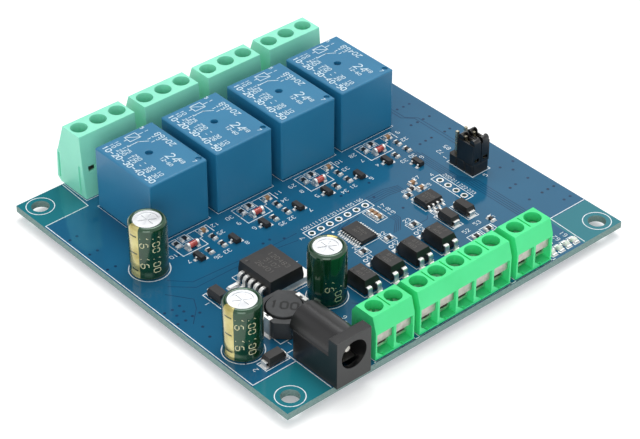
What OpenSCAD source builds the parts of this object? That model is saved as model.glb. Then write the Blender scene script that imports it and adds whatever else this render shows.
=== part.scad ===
// Four-channel relay board: relays and output terminals along the back edge, power jack, step-down supply,
// isolated inputs and low-voltage terminals along the front edge.
// Origin: middle of the mounting-hole pattern on the board's underside. +X along the front edge, +Y to the back.

/* [Board] */
// Length of the board along its terminal edges
board_l = 94; // [93:1:130]
// Width of the board from the front edge to the back edge
board_w = 90; // [89:1:130]
// Thickness of the board
board_t = 1.6; // [1.2:0.2:2.4]
// Diameter of the four mounting holes
mount_hole_d = 4; // [3:0.1:4.4]
// Distance from a mounting hole's centre to the side edge
hole_inset_x = 3.8; // [3.4:0.1:5]
// Distance from a mounting hole's centre to the front or back edge
hole_inset_y = 3.6; // [3.4:0.1:5]
// How far the clipped leads stand out under the board
lead_out = 1.8; // [1.2:0.1:2.5]

/* [Relays] */
// Width of a relay along the board's length
relay_w = 15.3; // [14:0.1:16]
// Depth of a relay from front to back
relay_d = 19.1; // [17:0.1:19.5]
// Height of a relay
relay_h = 15.3; // [12:0.1:20]
// Spacing of the relays and of the output terminals
relay_pitch = 17.73; // [17.4:0.01:18.2]
// Distance from the board's back edge to a relay's back face
relay_setback = 11.85; // [11:0.05:14]
// Turn of the third relay, which sits slightly crooked
relay_3_turn = -1; // [-1:0.1:1]
// Sideways shift of the third relay
relay_3_shift = 0.5; // [0:0.1:0.6]

/* [Terminals] */
// Spacing of the poles in every terminal
pole_pitch = 5.08; // [5:0.02:5.08]
// Height of the output terminals
output_h = 15.5; // [13:0.1:18]
// Height of the front terminals
front_h = 10.3; // [9.6:0.1:14]
// Diameter of the screwdriver holes
driver_hole_d = 3.8; // [3.6:0.1:4]
// Gap between a clamp cage and its chamber on each side
clamp_gap = 0.1; // [0.05:0.05:0.2]
// Distance from the front edge to the front terminals' screws
front_row_in = 4.15; // [3.9:0.05:5]

/* [Power jack] */
// Width of the jack
jack_w = 8.9; // [8.6:0.1:9.2]
// Height of the jack's front block
jack_h = 11.2; // [10.8:0.1:12]
// Depth of the jack from its face to its rear lug
jack_d = 14.4; // [14:0.1:16]
// Diameter of the plug opening
jack_bore_d = 6.4; // [6:0.1:6.6]
// Diameter of the centre pin
jack_pin_d = 2.1; // [1.9:0.05:2.5]
// How far the jack's face overhangs the front edge
jack_overhang = 1; // [0:0.1:2]

/* [Capacitors] */
// Diameter of a capacitor over its sleeve
cap_d = 8.3; // [6.3:0.1:8.6]
// Height of a capacitor above the board
cap_h = 13; // [9:0.1:20]
// Thickness of the sleeve
sleeve_t = 0.15; // [0.1:0.05:0.2]

/* [Supply] */
// Size of the inductor's square shield
coil_shield = 10; // [9:0.1:10.4]
// Height of the inductor's shield
coil_h = 4.2; // [3.6:0.1:6]
// Height of the regulator's moulded body
regulator_h = 4.4; // [4:0.1:4.8]

/* [Signal parts] */
// Spacing of the optocouplers
opto_pitch = 7.25; // [6.5:0.05:7.25]
// Height of an optocoupler above the board
opto_h = 3.5; // [3:0.1:4]
// Height of a chip resistor or capacitor
chip_h = 0.5; // [0.35:0.05:0.8]
// Height of the jumper header's pin tips above the board
pin_tip_h = 8.3; // [8:0.1:11]
// Height of a push-on jumper cap without its ears
jumper_h = 5.2; // [5:0.1:5.7]

/* [Hidden] */
$fn = 48;
skin = 0.01;
left = -board_l / 2;
right = board_l / 2;
front = -board_w / 2;
back = board_w / 2;

// Relays: centres, and the places of their five pins around each centre
relay_shift = [0, 0, relay_3_shift, 0];
relay_turn = [0, 0, relay_3_turn, 0];
relay_first_x = -1.47 * relay_pitch;
relay_y = back - relay_setback - relay_d / 2;
relay_front_y = relay_y - relay_d / 2;
relay_pin_w = 0.9;
relay_pin_t = 0.4;
relay_base_gap = 0.6;
relay_pin_y = relay_d / 2 - 2.4;
relay_pin_places = [[0, -relay_pin_y], [-6, 2 - relay_pin_y], [6, 2 - relay_pin_y],
    [-6, relay_pin_y - 0.1], [6, relay_pin_y - 0.1]];
relay_hole_d = 1.6;
relay_edge = 0.45;

// Output terminals
output_poles = 3;
output_row_y = back - 3.73;
output_first_x = relay_first_x - 0.65;
output_profile = [[-4.55, 0], [4.9, 0], [6.1, 1], [5.65, 7.9], [5.25, 8.5], [2.75, output_h],
    [-3.15, output_h], [-3.7, 8]];
output_chamber_w = 3.7;
output_end_wall = 0.55;

// Front terminals: first pole and number of poles of each
front_row_y = front + front_row_in;
power_first_x = left + 26;
power_poles = 2;
input_first_x = -9.1;
input_poles = 5;
bus_first_x = 18.2;
bus_poles = 2;
front_profile = [[-3.55, 0], [3.57, 0], [3.57, 6.9], [2.57, front_h], [-2.42, front_h], [-3.53, front_h - 1.7]];
front_end_wall = 0.4;

// Inside one pole, as heights above the board
front_chamber_w = 4.5;
pin_side = 0.9;
pin_hole_gap = 0.05;
terminal_hole_d = 1.4;
screw_d = 2.5;
screw_head_d = 3.4;
strip_t = 0.6;
cage_wall = 0.5;
thread_gap = 0.04;

// Jack
jack_x = left + 16.25;
jack_face_y = front - jack_overhang;
jack_axis_z = 6.6;
jack_block_d = 2.6;
jack_barrel_r = 4.25;
jack_ledge_z = 6.9;
jack_bore_depth = 10.2;
jack_pin_in = 2;
jack_pin_tip = 0.4;
jack_rivet_d = jack_pin_d + 0.5;
jack_base_d = jack_d - 1.3;
jack_spring_w = 4;
jack_back_y = jack_face_y + jack_d;
jack_lug_t = 0.5;

// Capacitors
cap_places = [[left + 8.05, 8.4], [left + 5.9, front + 20.3], [left + 29.8, front + 22.3]];
cap_lead_gap = 3.5;
cap_lead_d = 0.6;
cap_hole_d = 0.9;
can_r = cap_d / 2 - sleeve_t;
cap_lift = 0.3;
cap_rim_r = 0.6;
cap_bead_z = 2.2;

// Regulator
reg_x = left + 24.5;
reg_y = front + 33.8;
reg_l = 9;
reg_w = 10.4;
reg_lead_pitch = 1.7;
reg_leads = 5;
reg_reach = 4.1;

// Inductor
coil_x = left + 17.5;
coil_y = front + 21.35;
coil_corner = 2.4;
coil_disc_r = 3.75;
coil_bore_r = 4.1;
clip_w = 3;
clip_t = 0.2;

// Power diodes: place and turn
diode_places = [[left + 8.2, front + 13.7, 0], [left + 12.5, front + 36.3, 90],
    [19.4, front + 24.6, 90], [24.3, front + 24.9, 90]];
diode_l = 4.3;
diode_w = 2.6;
diode_h = 2.2;

// Controller, transceiver and optocouplers
mcu_x = 1.6;
mcu_y = front + 33.4;
bus_chip_x = 20.8;
bus_chip_y = front + 32.4;
opto_first_x = -9.4;
opto_y = front + 20.1;
opto_w = 4.4;
opto_l = 6.1;

// Header rows that stay empty
row_pitch = 2.54;
row_hole_d = 1;
row_7 = [for (i = [0:6]) [-5.5 + i * row_pitch, front + 40.47]];
row_4 = [for (i = [0:3]) [28.4, front + 32.8 + (i - 1.5) * row_pitch]];

// Jumper header
jumper_x = right - 9.87;
jumper_y = front + 36.7;
header_base_h = 2.5;
header_pin = 0.64;
header_hole_d = 1;
jumper_w = 2.34;
jumper_l = 5;

// How far a lead reaches into its moulded body
lead_in = 0.3;

// Small parts of one relay driver, measured from the relay's centre line and front face: place and turn
driver_resistors = [[-3.6, -2.95, 90], [-1.15, -2.3, 0], [3.9, -5.9, 90], [3.9, -9.1, 90], [0.3, -9.25, 90]];
driver_capacitors = [[3.5, -2.9, 0]];
driver_diode = [-1.5, -5.6];
driver_transistors = [[-2.8, -9.6, 0], [6.65, -9.7, 0]];
last_transistor = [29, front + 44.4, 180];

// Chips that stand by themselves: place and turn
loose_resistors = [for (i = [0:3]) [-1.8 + i * opto_pitch, front + 28.4, 0],
    [19.8, front + 16.6, 0], [23.7, front + 16.9, 0], [21.2, front + 38.2, 0], [26.6, front + 18.9, 90],
    [19, front + 36.9, 0]];
loose_capacitors = [[8.85, front + 37.6, 0], [8.85, front + 36.4, 0], [8.85, front + 35.2, 0],
    [22.8, front + 39.6, 0], [22.9, front + 37, 0]];
chip_l = 1.7;
chip_w = 0.85;
chip_end = 0.3;

// Status lights
led_places = [for (i = [0:3]) [right - 19.3 + i * 2.2, front + 2]];

// Hole centres of everything soldered through the board, grouped by hole size
relay_holes = [for (r = [0:3], p = relay_pin_places) [relay_x(r) + p[0], relay_y + p[1]]];
output_holes = [for (t = [0:3], i = [0:2]) [output_x(t) + i * pole_pitch, output_row_y]];
front_holes = [for (x = front_pole_xs()) [x, front_row_y]];
cap_holes = [for (c = cap_places, s = [-1, 1]) [c[0] + s * cap_lead_gap / 2, c[1]]];
header_holes = [for (i = [0, 1], j = [-1:1]) [jumper_x + (i - 0.5) * row_pitch, jumper_y + j * row_pitch]];
jack_lugs = [[jack_x, jack_back_y + jack_lug_t / 2, 0], [jack_x, jack_face_y + 8, 0],
    [jack_x + 4.7, jack_face_y + 11, 90]];
jack_lug_w = 2.4;
jack_slot_w = 3;
jack_slot_h = 1;

function relay_x(r) = relay_first_x + r * relay_pitch + relay_shift[r];
function output_x(t) = output_first_x + t * relay_pitch - pole_pitch;
function pole_xs(first, count) = [for (i = [0:count - 1]) first + i * pole_pitch];
function front_pole_xs() = concat(pole_xs(power_first_x, power_poles), pole_xs(input_first_x, input_poles),
    pole_xs(bus_first_x, bus_poles));

// Places its children at the top face of the board
module on_board(x = 0, y = 0, turn = 0) {
    translate([x, y, board_t])
        rotate(turn)
            children();
}

// Extrudes a side outline, drawn as outward distance and height, over a width along X
module side_sheet(width) {
    translate([-width / 2, 0, 0])
        rotate([90, 0, 90])
            linear_extrude(width)
                children();
}

// Rectangle with round corners, centred
module round_rect(w, l, r) {
    square([w - 2 * r, l], center = true);
    square([w, l - 2 * r], center = true);
    for (x = [-1, 1], y = [-1, 1])
        translate([x * (w / 2 - r), y * (l / 2 - r)])
            circle(r);
}

// Block whose edges are rounded in all three directions
module soft_block(w, l, h, r) {
    intersection() {
        linear_extrude(h)
            round_rect(w, l, r);
        translate([0, 0, h / 2])
            rotate([90, 0, 0])
                linear_extrude(l, center = true)
                    round_rect(w, h, r);
        translate([0, 0, h / 2])
            rotate([90, 0, 90])
                linear_extrude(w, center = true)
                    round_rect(l, h, r);
    }
}

// Moulded body with drafted sides: widest at the parting line
module moulded_body(w, l, h, parting, draft, lift = 0.1) {
    intersection() {
        rotate([90, 0, 0])
            linear_extrude(l, center = true)
                polygon([[-w / 2 + draft / 2, lift], [w / 2 - draft / 2, lift], [w / 2, parting],
                    [w / 2 - draft, h], [-w / 2 + draft, h], [-w / 2, parting]]);
        rotate([90, 0, 90])
            linear_extrude(w, center = true)
                polygon([[-l / 2 + draft / 2, lift], [l / 2 - draft / 2, lift], [l / 2, parting],
                    [l / 2 - draft, h], [-l / 2 + draft, h], [-l / 2, parting]]);
    }
}

// Quarter of a ring that bends a strip
module strip_bend(inner, thick) {
    intersection() {
        difference() {
            circle(inner + thick);
            circle(inner);
        }
        square(inner + thick);
    }
}

// Side outline of a bent lead: out of the body at its top height, down, and out to a foot on the board
module bent_lead(top, run, reach, thick, inner) {
    translate([0, top - thick])
        square([run, thick]);
    translate([run, top - thick - inner])
        strip_bend(inner, thick);
    translate([run + inner, thick + inner])
        square([thick, top - 2 * (thick + inner)]);
    translate([run + 2 * inner + thick, thick + inner])
        rotate(180)
            strip_bend(inner, thick);
    translate([run + 2 * inner + thick, 0])
        square([reach - run - 2 * inner - thick, thick]);
}

// Row of bent leads along X, leaving the body towards +Y
module lead_row(count, pitch, width, top, run, reach, thick, inner) {
    for (i = [0:count - 1])
        translate([(i - (count - 1) / 2) * pitch, 0, 0])
            side_sheet(width)
                bent_lead(top, run, reach, thick, inner);
}

module round_hole(place, d) {
    translate([place[0], place[1], -1])
        cylinder(d = d, h = board_t + 2);
}

// Slot with round ends for one of the jack's lugs
module jack_slot(place, bottom_z, height) {
    translate([place[0], place[1], bottom_z])
        rotate(place[2])
            linear_extrude(height) {
                square([jack_slot_w - jack_slot_h, jack_slot_h], center = true);
                for (s = [-1, 1])
                    translate([s * (jack_slot_w - jack_slot_h) / 2, 0])
                        circle(d = jack_slot_h);
            }
}

module circuit_board() {
    color("#14598c")
        difference() {
            translate([left, front, 0])
                cube([board_l, board_w, board_t]);
            for (x = [-1, 1], y = [-1, 1])
                round_hole([x * (board_l / 2 - hole_inset_x), y * (board_w / 2 - hole_inset_y)], mount_hole_d);
            for (p = relay_holes)
                round_hole(p, relay_hole_d);
            for (p = concat(output_holes, front_holes))
                round_hole(p, terminal_hole_d);
            for (p = cap_holes)
                round_hole(p, cap_hole_d);
            for (p = concat(header_holes, row_7, row_4))
                round_hole(p, row_hole_d);
            for (p = jack_lugs)
                jack_slot(p, -1, board_t + 2);
        }
}

// Solder that fills one lead hole and ends in a cone under the board
module solder_fill(place, hole_d) {
    translate([place[0], place[1], 0]) {
        cylinder(d = hole_d, h = board_t);
        rotate_extrude()
            polygon([[0, 0], [hole_d / 2 + 0.55, 0], [hole_d / 2 + 0.1, -0.45], [0.45, -1.1], [0, -1.1]]);
    }
}

module solder_joints() {
    color("#c9ccd0")
        difference() {
            union() {
                for (p = relay_holes)
                    solder_fill(p, relay_hole_d);
                for (p = concat(output_holes, front_holes))
                    solder_fill(p, terminal_hole_d);
                for (p = cap_holes)
                    solder_fill(p, cap_hole_d);
                for (p = header_holes)
                    solder_fill(p, header_hole_d);
                for (p = jack_lugs)
                    jack_slot(p, -0.6, board_t + 0.6);
            }
            for (r = [0:3])
                relay_pin_set(r);
            for (p = concat(output_holes, front_holes))
                terminal_post(p);
            for (p = cap_holes)
                cap_lead(p);
            for (p = header_holes)
                header_post(p);
            for (p = jack_lugs)
                jack_lug(p);
        }
}

module relay(r) {
    color("#3a7ba8")
        translate([relay_x(r), relay_y, board_t])
            rotate(relay_turn[r])
                difference() {
                    soft_block(relay_w, relay_d, relay_h, relay_edge);
                    translate([0, 0.6, relay_h - 1])
                        cylinder(d = 1.7, h = 2);
                    translate([relay_w / 2 - 1.15, -relay_d / 2 + 1.6, relay_h - 0.5])
                        cylinder(d = 1.3, h = 2);
                    translate([0, 0, -1])
                        linear_extrude(1 + relay_base_gap)
                            square([relay_w - 1.4, relay_d - 1.4], center = true);
                }
}

module relay_pin_set(r) {
    translate([relay_x(r), relay_y, 0])
        rotate(relay_turn[r])
            for (p = relay_pin_places)
                translate([p[0], p[1], (board_t + relay_base_gap - lead_out) / 2])
                    cube([relay_pin_t, relay_pin_w, board_t + relay_base_gap + lead_out], center = true);
}

module relay_pins() {
    color("#c8c8c8")
        for (r = [0:3])
            relay_pin_set(r);
}

// Chamber, screw shaft and wire opening of one pole, cut from a terminal housing; the wire side faces +Y
module pole_cut(width, floor_z, ceiling_z, head_z, top_z, back_u, mouth_u) {
    translate([-width / 2, back_u, floor_z])
        cube([width, mouth_u - back_u, ceiling_z - floor_z]);
    translate([0, 0, ceiling_z - 1])
        cylinder(d = screw_d + 0.3, h = 2);
    translate([0, 0, head_z])
        cylinder(d = driver_hole_d, h = top_z - head_z + 1);
    translate([0, 0, floor_z / 2])
        cube([pin_side + 2 * pin_hole_gap, pin_side + 2 * pin_hole_gap, floor_z + 1], center = true);
}

// Clamp cage of one pole: open along the wire, with a thick threaded roof
module clamp_cage(chamber_w, bottom_z, top_z, back_u, front_u, roof) {
    cage_w = chamber_w - 2 * clamp_gap;
    mouth_w = cage_w - 2 * cage_wall;
    difference() {
        translate([-cage_w / 2, back_u, bottom_z])
            cube([cage_w, front_u - back_u, top_z - bottom_z]);
        translate([-mouth_w / 2, back_u - 1, bottom_z + 0.6])
            cube([mouth_w, front_u - back_u + 2, top_z - bottom_z - roof - 0.6]);
        translate([0, 0, bottom_z + 1])
            cylinder(d = screw_d + thread_gap, h = top_z);
    }
}

module terminal_screw(tip_z, head_z, head_h) {
    difference() {
        union() {
            translate([0, 0, tip_z])
                cylinder(d = screw_d, h = head_z - tip_z);
            translate([0, 0, head_z])
                cylinder(d = screw_head_d, h = head_h);
        }
        translate([-0.3, -2, head_z + head_h - 0.7])
            cube([0.6, 4, 1]);
        translate([-1.1, -0.3, head_z + head_h - 0.7])
            cube([2.2, 0.6, 1]);
    }
}

module terminal_post(place) {
    translate([place[0] - pin_side / 2, place[1] - pin_side / 2, -lead_out])
        cube([pin_side, pin_side, board_t + lead_out]);
}

// Contact strip: a plate under the screw tip, a leg behind the cage and a foot over the solder post
module contact_strip(chamber_w, floor_z, plate_z, back_u, front_u) {
    side_sheet(chamber_w - 2 * (clamp_gap + cage_wall)) {
        translate([back_u, plate_z - strip_t])
            square([front_u - back_u, strip_t]);
        translate([back_u, floor_z])
            square([strip_t, plate_z - floor_z]);
        translate([back_u, floor_z])
            square([pin_side / 2 - back_u, strip_t]);
    }
    translate([-pin_side / 2, -pin_side / 2, -board_t - lead_out])
        cube([pin_side, pin_side, board_t + lead_out + floor_z + strip_t]);
}

module output_terminal(t) {
    ends = output_end_wall + output_chamber_w / 2;
    length = (output_poles - 1) * pole_pitch + 2 * ends;
    color("#8fe3c4")
        on_board(output_x(t), output_row_y)
            difference() {
                translate([length / 2 - ends, 0, 0])
                    side_sheet(length)
                        polygon(output_profile);
                for (i = [0:output_poles - 1])
                    translate([i * pole_pitch, 0, 0]) {
                        pole_cut(output_chamber_w, 0.8, 7.8, 8.6, output_h, -3.2, 7);
                        // Screwdriver-side vent that shows the cage from the relay side
                        translate([-0.9, -5, 6.2])
                            cube([1.8, 3, 1.4]);
                    }
                // Joining grooves on both end faces
                for (x = [-ends - 1, length - ends - 0.4], u = [[-2.75, 0.2, 7.6], [4.75, 1.1, 7.6]])
                    translate([x, u[0], u[1]])
                        cube([1.4, 0.6, u[2] - u[1]]);
            }
}

module output_terminal_screws() {
    color("#b9bcbd")
        for (p = output_holes)
            on_board(p[0], p[1])
                terminal_screw(5.6, 8.6, 1.6);
}

module output_terminal_clamps() {
    color("#c4c7c8")
        for (p = output_holes)
            on_board(p[0], p[1])
                clamp_cage(output_chamber_w, 1.55, 7.7, -2.2, 3.2, 1.4);
}

module output_terminal_pins() {
    color("#c8b27a")
        for (p = output_holes)
            on_board(p[0], p[1])
                contact_strip(output_chamber_w, 0.8, 5.6, -2.95, 2.8);
}

// Low terminal with open windows to the wire side; the wire side faces the front edge
module front_terminal(first_x, poles) {
    ends = front_end_wall + front_chamber_w / 2;
    length = (poles - 1) * pole_pitch + 2 * ends;
    wedge_w = 1.5;
    color("#2fdc7d")
        on_board(first_x, front_row_y)
            difference() {
                union() {
                    difference() {
                        translate([length / 2 - ends, 0, 0])
                            rotate(180)
                                side_sheet(length)
                                    polygon(front_profile);
                        for (i = [0:poles - 1])
                            translate([i * pole_pitch, 0, 0])
                                rotate(180)
                                    pole_cut(front_chamber_w, 0.45, 6.2, 6.95, front_h, -2.6, 5);
                    }
                    // Sloping foot inside the left of every window
                    for (i = [0:poles - 1])
                        translate([i * pole_pitch - front_chamber_w / 2 - skin, -2.95, 0])
                            rotate([90, 0, 0])
                                linear_extrude(3.57 - 2.95)
                                    polygon([[0, 0], [wedge_w, 0], [wedge_w, 0.5], [0, 1.75]]);
                }
                for (i = [0:poles - 1])
                    translate([i * pole_pitch - front_chamber_w / 2 + wedge_w, -4, 0.1])
                        cube([0.7, 1.2, 2]);
                // Marks between the poles on the roof
                for (i = [0:poles - 2])
                    translate([(i + 0.5) * pole_pitch - 0.17, -1.95, front_h - 0.4])
                        cube([0.34, 3.9, 1]);
                // Joining groove on the left end face
                translate([-ends - 1, 1.4, -1])
                    cube([1.2, 0.7, 8]);
            }
}

module front_terminal_screws() {
    color("#b9bcbd")
        for (p = front_holes)
            on_board(p[0], p[1])
                rotate(20 + 37 * p[0])
                    terminal_screw(4.2, 6.95, 1.2);
}

module front_terminal_clamps() {
    color("#c4c7c8")
        for (p = front_holes)
            on_board(p[0], p[1], 180)
                clamp_cage(front_chamber_w, 1.15, 6.1, -1.75, 1.8, 1.3);
}

module front_terminal_pins() {
    color("#c8b27a")
        for (p = front_holes)
            on_board(p[0], p[1], 180)
                contact_strip(front_chamber_w, 0.45, 4.2, -2.45, 2.3);
}

module dc_jack_housing() {
    color("#2b2b2d")
        on_board(jack_x, jack_face_y)
            difference() {
                union() {
                    translate([0, jack_block_d, 0])
                        rotate([90, 0, 0])
                            linear_extrude(jack_block_d)
                                translate([-jack_w / 2, 0])
                                    square([jack_w, jack_h]);
                    translate([-jack_w / 2, 0, 0])
                        cube([jack_w, jack_base_d, jack_ledge_z]);
                    translate([0, jack_d, jack_axis_z])
                        rotate([90, 0, 0])
                            cylinder(r = jack_barrel_r, h = jack_d - jack_block_d + skin);
                }
                translate([0, -1, jack_axis_z])
                    rotate([-90, 0, 0])
                        cylinder(d = jack_bore_d, h = jack_bore_depth + 1);
                translate([0, jack_bore_depth - 1, jack_axis_z])
                    rotate([-90, 0, 0])
                        cylinder(d = jack_rivet_d, h = jack_d);
                // Slot under the bore for the sleeve spring, open to the board
                translate([-jack_spring_w / 2 - 0.1, 1.2, -1])
                    cube([jack_spring_w + 0.2, jack_bore_depth - 1.2, 6]);
                // Pocket in the right wall for the switch contact
                translate([jack_w / 2 - 1.6, 8.6, -1])
                    cube([3, 3.9, 6]);
                // Hollow under the rear wall
                translate([-jack_w / 2 + 1, jack_bore_depth + 0.8, -1])
                    cube([jack_w - 3.4, 1.2, 3]);
            }
}

module jack_lug(place) {
    translate([place[0], place[1], -lead_out])
        rotate(place[2])
            translate([-jack_lug_w / 2, -jack_lug_t / 2, 0])
                cube([jack_lug_w, jack_lug_t, lead_out + board_t]);
}

module dc_jack_centre_pin() {
    wall = jack_d - jack_bore_depth;
    free_l = jack_bore_depth - jack_pin_in - jack_pin_tip;
    color("#d9d9d4") {
        on_board(jack_x, jack_back_y) {
            translate([0, 0, jack_axis_z])
                rotate([90, 0, 0]) {
                    cylinder(d = jack_rivet_d, h = wall);
                    translate([0, 0, wall])
                        cylinder(d = jack_pin_d, h = free_l);
                    translate([0, 0, wall + free_l])
                        cylinder(d1 = jack_pin_d, d2 = jack_pin_d - 2 * jack_pin_tip, h = jack_pin_tip);
                }
            translate([-1.6, 0, 0])
                cube([3.2, jack_lug_t, jack_axis_z + 1.6]);
        }
        jack_lug(jack_lugs[0]);
    }
}

module dc_jack_sleeve_spring() {
    lug_u = jack_lugs[1][1] - jack_face_y;
    color("#dcdcd8") {
        on_board(jack_x, jack_face_y) {
            side_sheet(jack_spring_w)
                polygon([[lug_u - 0.25, 0], [lug_u + 0.25, 0], [lug_u + 0.25, 3.95], [6.4, 4.1], [3, 4.25],
                    [2.1, 4.15], [2.1, 3.75], [3.1, 3.75], [6.4, 3.6], [lug_u - 0.25, 3.45]]);
        }
        jack_lug(jack_lugs[1]);
    }
}

module dc_jack_switch_contact() {
    lug_u = jack_lugs[2][1] - jack_face_y;
    lug_x = jack_lugs[2][0] - jack_x;
    color("#dcdcd8") {
        on_board(jack_x, jack_face_y) {
            translate([lug_x - jack_lug_t / 2, lug_u - jack_lug_w / 2, 0])
                cube([jack_lug_t, jack_lug_w, 4.4]);
            translate([jack_w / 2 - 1.6, lug_u - 1, 3.9])
                cube([lug_x - jack_w / 2 + 1.6, 2, 0.5]);
        }
        jack_lug(jack_lugs[2]);
    }
}

// Side outline of a can with a rolled rim, a pressed bead near its foot and a scored top
module can_outline(r) {
    difference() {
        union() {
            translate([0, cap_lift])
                square([r, cap_h - cap_lift - cap_rim_r - sleeve_t]);
            translate([0, cap_h - cap_rim_r - sleeve_t - skin])
                square([r - cap_rim_r, cap_rim_r + skin]);
            translate([r - cap_rim_r, cap_h - cap_rim_r - sleeve_t])
                circle(cap_rim_r);
        }
        translate([r + 0.42, cap_bead_z])
            circle(0.62);
        translate([-1, cap_h - sleeve_t - 0.2])
            square([r - 0.6, 1]);
    }
}

module capacitor(i) {
    color("#dfe1e4")
        on_board(cap_places[i][0], cap_places[i][1])
            difference() {
                rotate_extrude()
                    can_outline(can_r);
                // Score lines that let the top burst open
                for (turn = [30, 90, 150])
                    rotate(turn)
                        translate([-2, -0.12, cap_h - sleeve_t - 0.35])
                            cube([4, 0.24, 1]);
            }
}

// Sleeve shrunk over each can, turned in over its rim and under its foot
module capacitor_sleeves() {
    color("#1d5a35")
        for (c = cap_places)
            on_board(c[0], c[1])
                rotate_extrude()
                    difference() {
                        union() {
                            translate([0, cap_lift - sleeve_t])
                                square([can_r + sleeve_t, cap_h - cap_lift - cap_rim_r]);
                            translate([0, cap_h - cap_rim_r - sleeve_t])
                                square([can_r - cap_rim_r, cap_rim_r + sleeve_t]);
                            translate([can_r - cap_rim_r, cap_h - cap_rim_r - sleeve_t])
                                circle(cap_rim_r + sleeve_t);
                        }
                        translate([0, cap_lift])
                            square([can_r, cap_h - cap_lift - cap_rim_r - sleeve_t]);
                        translate([can_r - cap_rim_r, cap_h - cap_rim_r - sleeve_t])
                            circle(cap_rim_r);
                        translate([-1, -1])
                            square([can_r - 0.2, 1 + cap_lift]);
                        translate([-1, cap_h - cap_rim_r - sleeve_t - skin])
                            square([1 + can_r - cap_rim_r, 3]);
                    }
}

module cap_lead(place) {
    translate([place[0], place[1], -lead_out])
        cylinder(d = cap_lead_d, h = lead_out + board_t + cap_lift);
}

module capacitor_leads() {
    color("#c8c8c8")
        for (p = cap_holes)
            cap_lead(p);
}

module regulator_body() {
    color("#2a2a2c")
        difference() {
            on_board(reg_x, reg_y)
                difference() {
                    moulded_body(reg_l, reg_w, regulator_h + 0.1, 2.4, 0.25, 0);
                    // Recess for the heat tab under the body
                    translate([-2.8, -reg_w / 2 - 1, -1])
                        cube([10, reg_w + 2, 2.3]);
                    translate([-reg_l / 2 + 1.2, reg_w / 2 - 1.5, regulator_h])
                        cylinder(d = 1, h = 1);
                }
            regulator_lead_row();
        }
}

module regulator_tab() {
    color("#cfd1d3")
        on_board(reg_x, reg_y)
            difference() {
                translate([-2.8, -reg_w / 2 + 0.1, 0])
                    cube([reg_l / 2 + 2.8 + 2.3, reg_w - 0.2, 1.3]);
                for (s = [-1, 1])
                    translate([reg_l / 2 + 2.3, s * reg_w / 2, -1])
                        rotate(45)
                            cube([1.6, 1.6, 5], center = true);
            }
}

module regulator_lead_row() {
    on_board(reg_x - reg_l / 2 + lead_in, reg_y, 90)
        lead_row(reg_leads, reg_lead_pitch, 0.85, 2.65, 0.7, reg_reach + 0.2, 0.45, 0.55);
}

module regulator_leads() {
    color("#d6d8da")
        regulator_lead_row();
}

module inductor_core() {
    color("#3a3b3e")
        on_board(coil_x, coil_y)
            rotate_extrude()
                polygon([[0, 0.35], [coil_bore_r, 0.35], [coil_bore_r, 1.1], [2, 1.1], [2, 3.5],
                    [coil_disc_r, 3.5], [coil_disc_r, coil_h + 0.3], [coil_disc_r - 0.1, coil_h + 0.4],
                    [0, coil_h + 0.4]]);
}

module inductor_winding() {
    color("#a8602c")
        on_board(coil_x, coil_y)
            rotate_extrude()
                translate([2, 1.1])
                    square([1.5, 2.4]);
}

module inductor_shield() {
    side = coil_shield / 2;
    color("#2c2d2f")
        on_board(coil_x, coil_y, 0)
            difference() {
                translate([0, 0, clip_t])
                    linear_extrude(coil_h - clip_t)
                        polygon([[-side, coil_corner - side], [coil_corner - side, -side],
                            [side - coil_corner, -side], [side, coil_corner - side], [side, side - coil_corner],
                            [side - coil_corner, side], [coil_corner - side, side], [-side, side - coil_corner]]);
                translate([0, 0, -1])
                    cylinder(r = coil_bore_r, h = coil_h + 2);
            }
}

// Two end clips that wrap the shield from its roof to the board
module inductor_terminals() {
    color("#d2d0cb")
        for (s = [0, 180])
            on_board(coil_x, coil_y, s)
                difference() {
                    rotate([90, 0, 0])
                        linear_extrude(clip_w, center = true) {
                            translate([coil_shield / 2 - 1.4, 0])
                                square([1.4 + clip_t, clip_t]);
                            translate([coil_shield / 2, 0])
                                square([clip_t, coil_h + clip_t]);
                            translate([coil_shield / 2 - 0.75, coil_h])
                                square([0.75 + clip_t, clip_t]);
                        }
                    // Notch in the roof tongue
                    translate([coil_shield / 2 - 1.2, -0.45, coil_h - 0.5])
                        cube([0.9, 0.9, 1]);
                }
}

module power_diodes() {
    color("#262628")
        for (d = diode_places)
            on_board(d[0], d[1], d[2])
                difference() {
                    moulded_body(diode_l, diode_w, diode_h, 1.1, 0.3, 0.15);
                    for (s = [0, 180])
                        rotate(s)
                            diode_lead();
                }
}

// Diode end: out of the body at half height, down its end and back under it
module diode_lead() {
    lead_t = 0.15;
    out = diode_l / 2 + 0.35;
    rotate([90, 0, 0])
        linear_extrude(1.5, center = true) {
            translate([diode_l / 2 - lead_in, 1.1])
                square([0.35 + lead_t + lead_in, lead_t]);
            translate([out, 0])
                square([lead_t, 1.1 + lead_t]);
            translate([out - 1.4, 0])
                square([1.4 + lead_t, lead_t]);
        }
}

module power_diode_leads() {
    color("#d8d8d4")
        for (d = diode_places, s = [0, 180])
            on_board(d[0], d[1], d[2] + s)
                diode_lead();
}

// Both rows of leads of a chip: the body's half depth is where they leave it
module lead_rows(half_depth, count, pitch, width, top, run, reach, thick, inner) {
    for (s = [0, 180])
        rotate(s)
            translate([0, half_depth - lead_in, 0])
                lead_row(count, pitch, width, top, run + lead_in, reach + lead_in, thick, inner);
}

module microcontroller_lead_rows() {
    lead_rows(2.2, 10, 0.65, 0.24, 0.66, 0.25, 1.1, 0.13, 0.1);
}

module microcontroller_body() {
    color("#3b3835")
        on_board(mcu_x, mcu_y, 90)
            difference() {
                moulded_body(6.5, 4.4, 1.05, 0.6, 0.12);
                translate([-2.6, -1.5, 0.98])
                    cylinder(d = 0.7, h = 1);
                microcontroller_lead_rows();
            }
}

module microcontroller_leads() {
    color("#d8d8d4")
        on_board(mcu_x, mcu_y, 90)
            microcontroller_lead_rows();
}

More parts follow.
